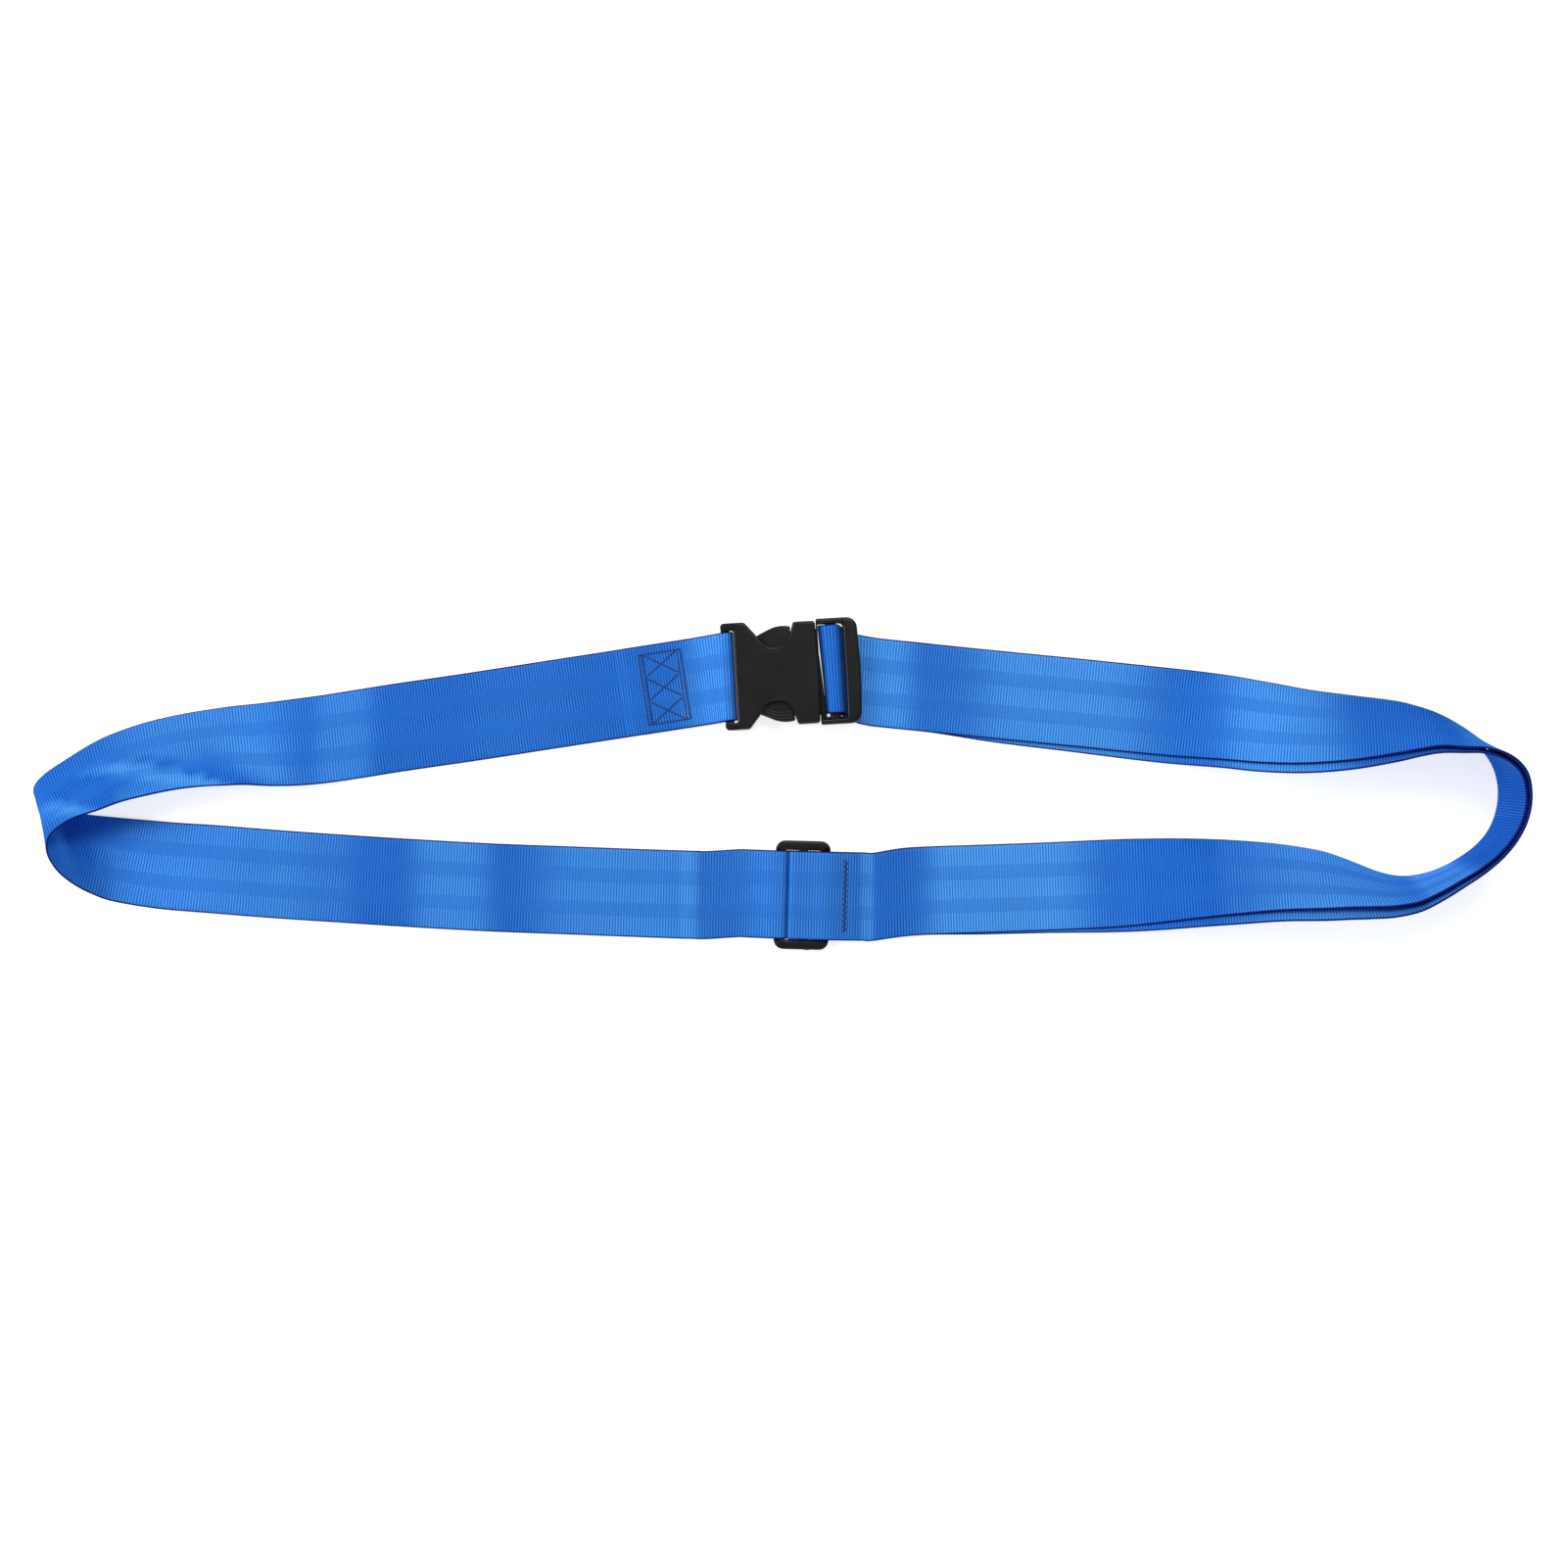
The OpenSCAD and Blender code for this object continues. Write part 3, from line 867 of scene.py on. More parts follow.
@dataclass
class Webbing:
    """The whole webbing, one strip from its sewn end to its tail in the slider.

    The stations of its route come in order from the sewn end. In a moulding they are u and z
    in its frame, and where needed the place across and the skew of the width. On the table
    they are the near edge's x and y, the far edge's x and y and the far edge's rise. Where
    the webbing is doubled, half the space between the plies comes next, and how far the inner
    and the outer ply slip towards their far edge.
    """

    crown: float = LEAD  # radius of the round at each edge
    rib_depth: float = 0.17
    bead_depth: float = 0.22  # how far the edges draw in between two ribs
    steps: int = 64  # points worked out between two stations
    soften_mm: float = 0.9
    outer_rows: tuple[float, ...] = (18.6, 22.4)  # rows of points on the outer ribbed panels
    tip: float = 0.2  # how far the near edge rises when the webbing stands on it
    off_centre: float = 0.3  # the sewn end on the socket's bar, across from its middle
    drift_from: float = -36.0  # behind this u the sewn end drifts across
    drift: float = 0.096
    skew_from: float = -39.0  # behind this u its width turns, over the next skew_over
    skew_over: float = 12.0
    skew_deg: float = 5.5

    sewn_end: tuple = (
        (-88, LEAD), (-80, LEAD), (-70, LEAD), (-60, LEAD), (-54, 0.8), (-48, 1.3), (-43, 2.2),
        (-39, 2.9), (-36, 3.0), (-33.9, 3.5), (-32.9, 5), (-32.8, 7), (-33.6, 9), (-35.2, 10),
        (-37, 10.1))
    sewn_top: tuple = (
        (-39, 9.6), (-42, 8), (-46, 5.6), (-50, 3.6), (-54, 2.5), (-58, UPPER), (-65, UPPER),
        (-74, UPPER), (-83, UPPER), (-87, UPPER), (-91, 2.0), (-96, 1.0), (-101, LEAD))
    left_top: tuple = (
        (-131, 69, -124, 19.5, 0), (-173, 62.5, -166, 13, 0), (-214, 56.5, -207, 7, 0))
    left_bend: tuple = (
        (-255, 50, -249, 0.5, 3), (-285, 46, -277, -1.5, 13), (-309, 43, -299, 0, 22),
        (-333, 39.5, -321, -2.5, 25), (-356, 34, -341, -6, 27), (-378, 25.5, -360, -10.5, 30),
        (-398, 13.5, -377, -16.5, 34), (-411.2, 5, -387, -22.5, 37), (-416, -2.5, -394, -30, 40),
        (-409.5, -11, -395, -38.5, 41), (-396, -15.5, -391, -47, 38), (-384, -17.5, -384, -54.5, 33),
        (-372, -18.5, -375, -61, 26), (-360, -19.5, -365, -65.5, 19), (-337, -21.5, -342, -70, 11),
        (-313, -23.5, -317, -72, 6), (-277, -26, -281, -75.5, 2))
    left_bottom: tuple = (
        (-241, -28.5, -246, -78, 0), (-203, -31, -206, -80.5, 0), (-158, -33.5, -161, -83, 0),
        (-113, -35, -115, -85, 0), (-73, -36.5, -75, -86.5, 0))
    left_hump: tuple = (
        (-51, -37.2, -52, -87.2, 1.5), (-43, -37.4, -44, -87.4, 1.8), (-35, -37.6, -36, -87.6, 0.4))
    slider_pass: tuple = (
        (-36, LEAD), (-30, 0.9), (-24, 2.1), (-18, 3.7), (-15, 4.3), (-12.5, 4.5), (-10.6, 4.3),
        (-9.3, 3.3), (-8.6, 2.0), (-7.6, 1.0), (-6, LEAD), (-3, LEAD), (0, LEAD), (3, LEAD),
        (6, LEAD), (7.6, 1.0), (8.6, 2.0), (9.3, 3.3), (10.6, 4.3), (12.5, 4.5), (15, 4.3),
        (18, 3.6), (24, 1.9), (30, 0.8), (35, LEAD), (40, LEAD))
    slider_loop: tuple = (
        (40, UPPER), (36, 2.6), (33, 3.3), (30, 4.0), (24, 5.2), (18, 6.9), (15, 7.5), (12.5, 7.7),
        (10, 7.5), (6, 6.9), (0, 6.6), (-4, 6.6), (-6.3, 6.1), (-7.3, 4.9), (-6.8, 3.5), (-5, 2.5),
        (-2.6, UPPER), (0, UPPER), (4.5, UPPER), (6.2, 2.5), (7.2, 3.2), (8.0, 4.4), (9.3, 5.6),
        (11, 6.1), (12.5, 6.1), (15, 5.9), (18, 5.25), (24, 3.6), (30, 2.4))
    right_bottom: tuple = (
        (79, -35.5, 81, -85.5, 0, 0.8, 0, 0), (118, -34, 120, -84, 0, 0.8, 0, 1),
        (157, -32.6, 159, -82.6, 0, 0.8, 0, 1.6), (187, -31.4, 188.5, -80.9, 6, 0.8, 0, 2.4))
    right_bend: tuple = (
        (213, -30.9, 213, -78.2, 15.5, 0.85, 0, 3.4), (237, -31.1, 236, -75, 23.5, 0.95, 0, 4.4),
        (261, -32.3, 258, -72.6, 29.3, 1.2, 0, 5), (285, -34.7, 281, -70.7, 34.5, 1.6, 0, 5),
        (308, -38.8, 304, -70.1, 38.8, 2, 0, 5), (320, -42.8, 316, -69.6, 42, 2.2, 0, 4.8),
        (331, -47.3, 328, -69.4, 44.7, 2.3, 0, 4.4), (342, -51.6, 340, -68.8, 46.9, 2.3, 0, 4),
        (354, -53.9, 353, -66.2, 48.4, 2.1, 0, 3), (366, -52.8, 365, -60.4, 49.2, 1.9, 0, 2),
        (377, -49.3, 376, -53.9, 49.6, 1.7, 0, 1), (388, -43.4, 387, -46.9, 49.7, 1.5, 0, 0.4),
        (398, -36, 397, -38.5, 49.8, 1.4, 0, 0), (405.5, -27, 405, -28.5, 49.9, 1.3, 0, 0),
        (410, -16, 410, -17.5, 49.9, 1.3, 0, 0), (411.5, -4, 411.5, -5.5, 49.9, 1.4, 0, 0),
        (409.5, 8, 409, 6, 49.9, 1.6, 0, 0), (404, 18, 401, 14, 49.7, 1.6, 0, 0),
        (395, 26.5, 389, 18, 49, 1.5, 0, 0), (385, 33.5, 377, 18.5, 47, 1.4, 1, 0),
        (374, 39, 365, 19, 45, 1.6, 2, 0), (363, 43, 354, 17.5, 42, 1.4, 3, 0),
        (351, 46, 343, 15.5, 38.8, 1.3, 4, 0), (327, 49.3, 320, 12.3, 32.5, 1, 5, 0),
        (304, 52.6, 296, 10.6, 25.7, 0.9, 5, 0), (280, 57.2, 272, 11.2, 17.8, 0.85, 4.6, 0))
    right_top: tuple = (
        (257, 61.3, 250, 13.3, 11.8, 0.8, 4.2, 0), (221, 65.8, 214, 16.4, 2, 0.8, 4, 0),
        (173, 71, 168, 21, 0, 0.8, 3, 0), (132, 75, 127, 25, 0, 0.8, 2, 0),
        (93, 79, 88, 29, 0, 0.8, 0, 0))
    plug_loop: tuple = (
        (50, UPPER, -8, -9), (43, UPPER, -6.6, -7), (37, UPPER, -5, -5), (33, UPPER, -3.2, -3),
        (30.7, 2.25, -1.2, -1), (29.2, 2.5, 0, 0), (28, 3.5, 0.6, 0), (27.4, 5.6, 0.9, 0),
        (27, 8.1, 1.1, 0), (25.7, 9.8, 1.2, 0), (23.6, 10.4, 1.2, 0.4), (21.2, 10.2, 1.2, 1.2),
        (18.8, 9, 1.2, 2.2), (17.5, 7, 1.2, 2.8), (17.4, 4.4, 1.2, 2.8), (18.6, 2.1, 1.2, 2),
        (21, 0.9, 1, 0.6), (24, LEAD, 0.5, 0), (28, LEAD, -0.8, 0), (32, LEAD, -2.8, -2),
        (37, LEAD, -5, -5), (43, LEAD, -6.6, -7), (50, LEAD, -8, -9))
    waves: tuple[Wave, ...] = (
        Wave(2, 80, 11, 13, 14, -2.1, -2.8), Wave(2, 110, 16, 10, 13, -1.8, 1.8),
        Wave(2, 142, 11, 12, 13, -0.8, -2.6), Wave(2, 44, 16, 14, 14, -1.0, 1.4),
        Wave(2, 186, 9, -2, 16, 0.5, 1.0))
    # Painted sheen: an even share, more or less of it on the waves' slopes as painted crease sheen and
    # shade, and bands of painted sheen and shade along each long side.
    even_painted_sheen: float = 0.08
    painted_sheen_per_slope: float = 4.5
    between_runs: float = -18.0  # y of the line between the two long sides
    painted_sheen_bands: tuple[PaintedSheen, ...] = (
        PaintedSheen(Run.TOP, -322, 50, 0.5), PaintedSheen(Run.TOP, -241, 16, 0.45), PaintedSheen(Run.TOP, -140, 30, 0.08),
        PaintedSheen(Run.TOP, -34, 16, 0.45), PaintedSheen(Run.TOP, 62, 18, 0.75), PaintedSheen(Run.TOP, 110, 30, 0.15),
        PaintedSheen(Run.TOP, 166, 48, 0.8), PaintedSheen(Run.TOP, 286, 32, 0.66), PaintedSheen(Run.TOP, 394, 13, 0.4),
        PaintedSheen(Run.BOTTOM, -322, 52, 0.5), PaintedSheen(Run.BOTTOM, -260, 24, 0.3),
        PaintedSheen(Run.BOTTOM, -180, 22, 0.6), PaintedSheen(Run.BOTTOM, -86, 46, 0.6),
        PaintedSheen(Run.BOTTOM, -46, 6, 0.4), PaintedSheen(Run.BOTTOM, 14, 40, 0.3), PaintedSheen(Run.BOTTOM, 54, 4, 0.6),
        PaintedSheen(Run.BOTTOM, 104, 16, 0.3), PaintedSheen(Run.BOTTOM, 134, 44, 0.98),
        PaintedSheen(Run.BOTTOM, 228, 20, -0.15), PaintedSheen(Run.BOTTOM, 264, 14, 0.15),
        PaintedSheen(Run.BOTTOM, 314, 42, 0.8), PaintedSheen(Run.BOTTOM, 371, 13, 1.1))
    lengths: tuple[Length, ...] = (
        Length("cloth_upper_left", 3,
               ("webbing_sewn_end", "webbing_left_top", "webbing_left_bend"),
               Follow("strap"), Held.LAID, ("socket",)),
        Length("cloth_lower_left", 1, ("webbing_left_bottom",),
               Follow("strap", "slider", (-238, -54), (-24, -62)), Held.LAID, ("slider",)),
        Length("cloth_through_slider", 1, ("webbing_slider_pass",),
               Follow("slider"), Held.FOLDED, ("slider",)),
        Length("cloth_lower_right_outer", 1, ("webbing_outer_bottom_right",),
               Follow("slider", "strap", (82, -60), (210, -56)), Held.LAID, ("slider",)),
        Length("cloth_standing_end_outer", 1, ("webbing_outer_bend",),
               Follow("strap"), Held.LAID, ("cloth_lower_right_outer",)),
        Length("cloth_upper_right_outer", 1, ("webbing_outer_top_right",),
               Follow("strap", "plug", (254, 36), (68, 57)), Held.LAID, ("plug",)),
        Length("cloth_round_plug_bar", 1, ("webbing_plug_loop",),
               Follow("plug"), Held.FOLDED, ("plug",)),
        Length("cloth_upper_right_inner", 1, ("webbing_inner_top_right",),
               Follow("plug", "strap", (96, 54), (272, 33)), Held.LAID, ("plug",)),
        Length("cloth_standing_end_inner", 1, ("webbing_inner_bend",),
               Follow("strap"), Held.LAID, ("cloth_standing_end_outer",)),
        Length("cloth_lower_right_inner", 1, ("webbing_inner_bottom_right",),
               Follow("strap", "slider", (184, -57), (64, -62)), Held.LAID, ("slider",)),
        Length("cloth_round_slider_bar", 1, ("webbing_slider_loop",),
               Follow("slider"), Held.FOLDED, ("slider",)),
    )

    def on_table(self, rows: tuple, middle: float) -> Array:
        """Stations of webbing that lies on the table or is tipped up on its near edge.

        The far edge stands its rise above the near one, and the near edge's middle sinks by
        the lean's cosine, so that its lower corner stays on the table.

        Args:
            rows: near edge x and y, far edge x and y, and the far edge's rise.
            middle: height of the ply's middle where it lies flat.

        Returns:
            (n, 2, 3) edge points.
        """
        table = np.array([row[:5] for row in rows], float)
        lean = table[:, 4] / WIDTH
        near_z = middle * np.sqrt(np.maximum(0, 1 - lean**2)) + self.tip * lean
        near = np.column_stack([table[:, 0], table[:, 1], near_z])
        far = np.column_stack([table[:, 2], table[:, 3], table[:, 4] + middle])
        return np.stack([near, far], 1)

    def off_the_bar(self, rows: tuple) -> Array:
        """Stations near the socket's bar, which the webbing leaves at a small angle.

        The middle drifts across by a share of the way, and a little further on the width
        turns by an even amount for each millimetre.

        Args:
            rows: u and z in the buckle's frame.

        Returns:
            (n, 2, 3) edge points on the table.
        """
        u, z = np.array(rows, float).T
        across = self.off_centre + self.drift * np.minimum(0, u - self.drift_from)
        skew = self.skew_deg * np.clip((self.skew_from - u) / self.skew_over, 0, 1)
        return BUCKLE.stations(list(zip(u, z, across, skew)))

    def plies(self) -> tuple[Array, Array]:
        """The two plies of the doubled half, each pushed off their shared middle.

        A ply is moved along the webbing's face by half the space between the two, and each
        one slips towards its far edge as well.

        Returns:
            Stations of the outer and the inner ply, both from the slider to the buckle.
        """
        rows = self.right_bottom + self.right_bend + self.right_top
        middle = self.on_table(rows, LEAD + STACK / 2)
        space, slip_in, slip_out = np.array([row[5:] for row in rows]).T[..., None]
        centre = middle.mean(1)
        last = len(centre) - 1
        index = np.arange(last + 1)
        along = unit(centre[np.minimum(index + 1, last)] - centre[np.maximum(index - 1, 0)])
        across = unit(middle[:, 1] - middle[:, 0])
        push = unit(np.cross(along, across)) * space
        outer, inner = across * slip_out + push, across * slip_in - push
        return middle + outer[:, None], middle + inner[:, None]

    def sections(self) -> list[Array]:
        """Stations of the route's thirteen sections, from the sewn end to the tail."""
        outer, inner = self.plies()
        inner = inner[::-1]
        a, b, c = len(self.right_bottom), len(self.right_bend), len(self.right_top)
        sewn, top = (self.off_the_bar(rows) for rows in (self.sewn_end, self.sewn_top))
        hump = np.array([((x0, y0, LEAD + lift), (x1, y1, LEAD + lift))
                         for x0, y0, x1, y1, lift in self.left_hump])
        return [
            sewn,
            np.concatenate([top, self.on_table(self.left_top, LEAD)]),
            self.on_table(self.left_bend, LEAD),
            np.concatenate([self.on_table(self.left_bottom, LEAD), hump]),
            SLIDER.stations(list(self.slider_pass)),
            outer[:a], outer[a : a + b], outer[a + b :],
            BUCKLE.stations(list(self.plug_loop)),
            inner[:c], inner[c : c + b], inner[c + b :],
            SLIDER.stations(list(self.slider_loop)),
        ]

    def run(self) -> tuple[Array, Array, Array, Array]:
        """The strip's middle line and directions at every ring, and where sections begin.

        The curve through all stations is resampled at equal arc lengths, a whole number of
        rings to each rib, and softened by a short running mean along the strip.

        Returns:
            Middle points, width directions and face directions of the rings, and the ring
            number where each section starts.
        """
        sections = self.sections()
        curve = through(np.concatenate(sections), self.steps)
        middle = curve.mean(1)
        far = np.concatenate([[0], np.cumsum(np.linalg.norm(np.diff(middle, axis=0), axis=1))])
        first = np.cumsum([0] + [len(s) for s in sections])
        marks = far[np.minimum(first * self.steps, len(far) - 1)]
        ribs = round(far[-1] / RIB)
        at = np.linspace(0, far[-1], ribs * RIB_RINGS + 1)
        edges = np.stack([[np.interp(at, far, curve[:, e, k]) for k in range(3)] for e in range(2)])
        edges = edges.transpose(2, 0, 1)
        reach = max(1, round(self.soften_mm / (at[1] - at[0])))
        kernel = np.hanning(2 * reach + 3)[1:-1]
        kernel /= kernel.sum()
        held = np.concatenate([edges[:1]] * reach + [edges] + [edges[-1:]] * reach)
        windows = np.lib.stride_tricks.sliding_window_view(held, 2 * reach + 1, axis=0)
        edges = windows @ kernel
        line = edges.mean(1)
        across = unit(edges[:, 1] - edges[:, 0])
        face = unit(np.cross(np.gradient(line, axis=0), across))
        return line, across, face, np.rint(marks / far[-1] * ribs).astype(int) * RIB_RINGS

    def section_points(self) -> tuple[Array, Array, Array]:
        """The cross-section's points, round the strip.

        Returns:
            Place across, side of the face (1 above, -1 below, between on the edges), and how
            much of the edge's round each point has, from 0 on the faces to 1 at the very edge.
        """
        a, b = PANEL_EDGES
        half = WIDTH / 2 - self.crown
        marks = [0.0, half] + [edge + fade for edge in (a, b) for fade in (-PANEL_FADE, PANEL_FADE)]
        marks += self.outer_rows
        flat = np.array(sorted({-m for m in marks} | set(marks)))
        angle = np.radians([45.0, 90.0, 135.0])
        place = np.concatenate([flat, half + self.crown * np.sin(angle), flat[::-1],
                                -half - self.crown * np.sin(angle)])
        side = np.concatenate([np.ones(len(flat)), np.cos(angle), -np.ones(len(flat)), -np.cos(angle)])
        edge = np.concatenate([0 * flat, np.sin(angle), 0 * flat, np.sin(angle)])
        return place, side, edge

    def surface(self) -> tuple[Array, Array, Array, Array, Array]:
        """Every point of the strip's skin.

        A point is the ring's middle + width direction x across + face direction x half the
        thickness. Between two ribs both faces sink by the rib's depth x (1 - cos) / 2, less on
        the smooth panels, and the edges draw in the same way. Waves push the whole strip along
        its face.

        Returns:
            Points (rings, points per ring, 3), the along and across place and the waves' slope
            of each point, and the ring where each section starts.
        """
        line, across, face, starts = self.run()
        place, side, edge = self.section_points()
        rings = np.arange(len(line))
        along = rings * RIB / RIB_RINGS
        valley = 0.5 * (1 - np.cos(2 * math.pi * rings / RIB_RINGS))[:, None]
        rise, fall = (
            eased(np.abs(place), edge - PANEL_FADE, edge + PANEL_FADE) for edge in PANEL_EDGES)
        smooth = rise * (1 - fall)
        relief = self.rib_depth * (1 - (1 - SMOOTH_SHARE) * smooth)
        depth = side[None] * (self.crown - valley * relief[None])
        wide = place[None] - np.sign(place)[None] * valley * self.bead_depth * edge[None]
        lift, slope = np.zeros_like(wide), np.zeros_like(wide)
        for wave in self.waves:
            middle = starts[wave.section] * RIB / RIB_RINGS + wave.along
            off = (along[:, None] - middle - wave.slant * (place[None] - wave.across)) / wave.reach
            hill = wave.height * np.exp(-(off**2) - ((place[None] - wave.across) / wave.spread) ** 2)
            lift += hill
            slope -= 2 * off / wave.reach * hill
        deep = (depth + lift)[..., None]
        points = line[:, None] + across[:, None] * wide[..., None] + face[:, None] * deep
        points[..., 2] = np.maximum(points[..., 2], 0.0)
        along, place = (np.broadcast_to(x, wide.shape) for x in (along[:, None], place))
        return points, along, place, slope, starts

    def painted_sheen(self, points: Array, slope: Array) -> Array:
        """How much painted sheen each point has.

        Each band adds its amount x exp(-(distance in x / reach) ^ 4) on its own side, and where a wave
        tips the strip up along its length the colour gets painted sheen, and painted shade where it tips
        down.

        Args:
            points: the skin's points.
            slope: how far the waves tip the strip at each point.

        Returns:
            Numbers from 0 to 1.
        """
        total = self.even_painted_sheen + self.painted_sheen_per_slope * slope
        for spot in self.painted_sheen_bands:
            beside = (points[..., 1] - self.between_runs) * spot.run.value > 0
            away = (points[..., 0] - spot.x) / spot.reach
            total += spot.amount * np.exp(-(away**4)) * beside
        return np.clip(total, 0, 1)

    def build(self, finish: bpy.types.Material) -> list[bpy.types.Object]:
        """Makes, dresses and attaches every length of the webbing.

        Args:
            finish: the cloth's material.

        Returns:
            The new pieces.
        """
        points, along, place, slope, starts = self.surface()
        # The painted sheen attribute paints sheen and shade into the cloth's colour.
        layers = {"along_mm": along, "across_mm": place, "painted_sheen": self.painted_sheen(points, slope)}
        made = []
        section = 0
        for length in self.lengths:
            rings = slice(starts[section], starts[section + length.sections] + 1)
            section += length.sections
            piece = fill_mesh(length.name, [loft(points[rings])], CLOTH_CREASE)
            for name, values in layers.items():
                layer = piece.data.attributes.new(name, "FLOAT", "POINT")
                layer.data.foreach_set("value", values[rings].astype(np.float32).ravel())
            piece.data.materials.append(finish)
            length.follow.attach(piece)
            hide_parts(*length.nodes)
            made.append(piece)
        return made


# ---- buckle and slider -----------------------------------------------------------------------


def both_sides(half: list[tuple[float, float, float]]) -> list[tuple[float, float, float]]:
    """Corners of an outline from those of its +v half, mirrored over the u axis."""
    return half + [(u, -v, r) for u, v, r in reversed(half)]


def box_outline(x0: float, x1: float, y0: float, y1: float, radius: float) -> Array:
    """A rectangle with round corners."""
    return rounded([(x1, y1, radius), (x0, y1, radius), (x0, y0, radius), (x1, y0, radius)])


@dataclass
class Fitting:
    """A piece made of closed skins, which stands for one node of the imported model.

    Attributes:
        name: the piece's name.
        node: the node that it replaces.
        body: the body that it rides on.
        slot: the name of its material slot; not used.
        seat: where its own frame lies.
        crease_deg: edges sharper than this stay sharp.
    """

    name: str
    node: str
    body: str = "strap"
    slot: str = "buckle"
    seat: Seat = BUCKLE
    crease_deg: float = MOULDED_CREASE

    def skins(self) -> list[Skin]:
        """Closed skins in the piece's own frame; each kind of piece has its own."""
        raise NotImplementedError

    def shaped(self) -> bpy.types.Object:
        """The undressed piece: its skins, placed on the table."""
        return fill_mesh(self.name, [self.seat.moved(skin) for skin in self.skins()], self.crease_deg)

    def build(self, finish: bpy.types.Material) -> bpy.types.Object:
        """Makes the piece, gives it its material and body, and hides its node.

        Args:
            finish: its material.

        Returns:
            The dressed piece.
        """
        piece = self.shaped()
        piece.data.materials.clear()
        piece.data.materials.append(finish)
        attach(piece, self.body)
        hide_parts(self.node)
        LOG.info("%s: %d faces", piece.name, len(piece.data.polygons))
        return piece


@dataclass
class BuckleSocket(Fitting):
    """The socket: a flat housing with thumb notches, a flared mouth and a bar for the webbing."""

    name: str = "buckle_socket"
    node: str = "socket"
    height: float = 13.0
    wall: float = 2.6
    mouth_half: float = 24.6
    foot_round: float = 0.9
    top_round: float = 1.4
    cavity_u: tuple[float, float] = (-26.0, 20.0)
    slot_u: tuple[float, float] = (-45.0, -32.4)  # the end is thinned from below and above
    slot_half: float = 34.0
    thinned: float = 1.5

    def outline(self) -> Array:
        """The housing's outline: band, notch, ear and the webbing's slot on each side."""
        half = [(14.1, 28.6, 1.8), (1.8, 28.7, 1.8), (-0.4, 21.4, 6.0), (-4.8, 15.3, 6.0),
                (-13.6, 15.2, 8.0), (-25.4, 29.9, 3.0), (-39.0, 29.9, 2.2), (-39.0, 26.0, 1.5),
                (-31.95, 26.0, 0.9)]
        return rounded(both_sides(half) + [(14.9, 0.0, 90.0)], steps=8)

    def notch(self, side: int, inset: float) -> Array:
        """Line along a notch's edge on the housing's top, set in from it.

        Args:
            side: 1 or -1, for the notch's side of the axis.
            inset: how far the line is from the edge.

        Returns:
            (n, 3) points.
        """
        path = np.array([(1.2, 26.6), (-0.2, 22.2), (-2.6, 18.0), (-5.6, 15.8), (-9.2, 15.3),
                         (-13.0, 16.2), (-16.8, 19.2), (-20.4, 23.4), (-23.2, 27.0)])
        fine = through(path, 8)
        away = unit(np.gradient(fine, axis=0))
        fine = fine + inset * np.stack([-away[:, 1], away[:, 0]], -1)
        return np.column_stack([fine[:, 0], side * fine[:, 1], np.full(len(fine), self.height)])

    def shaped(self) -> bpy.types.Object:
        """The undressed socket: its housing, hollowed and cut, with a bar and grip ridges.

        Returns:
            The piece, with no modifier left on it.
        """
        top, wall, thin, beyond = self.height, self.wall, self.thinned, 5.0
        housing = plate(self.outline(), edge_profile(0.0, top, self.foot_round, self.top_round, 6))
        cuts = [self.across_u(self.cavity_u, self.mouth_half, (wall, top - wall), 1.2),
                self.across_u(self.slot_u, self.slot_half, (-beyond, thin), 0.4),
                self.across_u(self.slot_u, self.slot_half, (top - thin, top + beyond), 0.4)]
        steps = [(Work.CUT, cut) for cut in cuts]
        steps.append((Work.ADD, bar_across(-39.0, -34.0, 4.0, 9.0, 26.6, 1.6)))
        ridges = [bead(self.notch(side, inset), 0.5, 0.16) for side in (1, -1) for inset in (1.5, 3.1)]
        return worked(self.name, [housing], steps, ridges, self.seat)

    @staticmethod
    def across_u(u: tuple[float, float], half: float, z: tuple[float, float], radius: float) -> Skin:
        """A block with a rounded v-z section, carried along u.

        Args:
            u: its ends.
            half: half its width, along v.
            z: its underside and top.
            radius: of its section's corners.

        Returns:
            The closed block.
        """
        low, high = z
        section = rounded([(half, high, radius), (-half, high, radius),
                           (-half, low, radius), (half, low, radius)])
        return loft(np.array([np.insert(section, 0, end, axis=1) for end in u]))


@dataclass
class BucklePlug(Fitting):
    """The plug: a frame with two slots, a cross member in the mouth and a guide tongue."""

    name: str = "buckle_plug"
    node: str = "plug"
    body: str = "plug"
    half: float = 29.8
    low: float = 3.3
    high: float = 10.5

    def skins(self) -> list[Skin]:
        """Frame, bar, cross member, tongue and guard.

        Returns:
            The five skins.
        """
        outer = rounded([(37.4, self.half, 6.0), (14.6, self.half, 1.0), (14.6, -self.half, 1.0),
                         (37.4, -self.half, 6.0), (38.6, 0.0, 90.0)])
        inner = rounded([(29.5, 26.6, 2.0), (15.4, 26.6, 0.5), (15.4, -26.6, 0.5),
                         (29.5, -26.6, 2.0), (29.8, 0.0, 90.0)])
        # A low guard closes the slot beside the skewed cloth, and the narrow gap along one rail.
        guard = [(14.7, -27.2, 0.3), (29.9, -27.2, 0.3), (29.9, -25.4, 0.3), (18.3, -25.4, 0.5),
                 (15.7, 9.0, 0.3), (14.7, 14.0, 0.3)]
        return [frame_ring(outer, inner, self.low, self.high, 1.5),
                bar_across(19.8, 25.8, 4.0, 8.8, 27.4, 1.6),
                bar_across(12.7, 14.9, self.low, 10.2, 24.1, 0.5),
                plate(box_outline(-18.0, 13.0, -4.5, 4.5, 1.4), edge_profile(4.0, 9.0, 0.8, 0.8)),
                plate(rounded(guard), edge_profile(3.5, 4.5, 0.1, 0.1))]


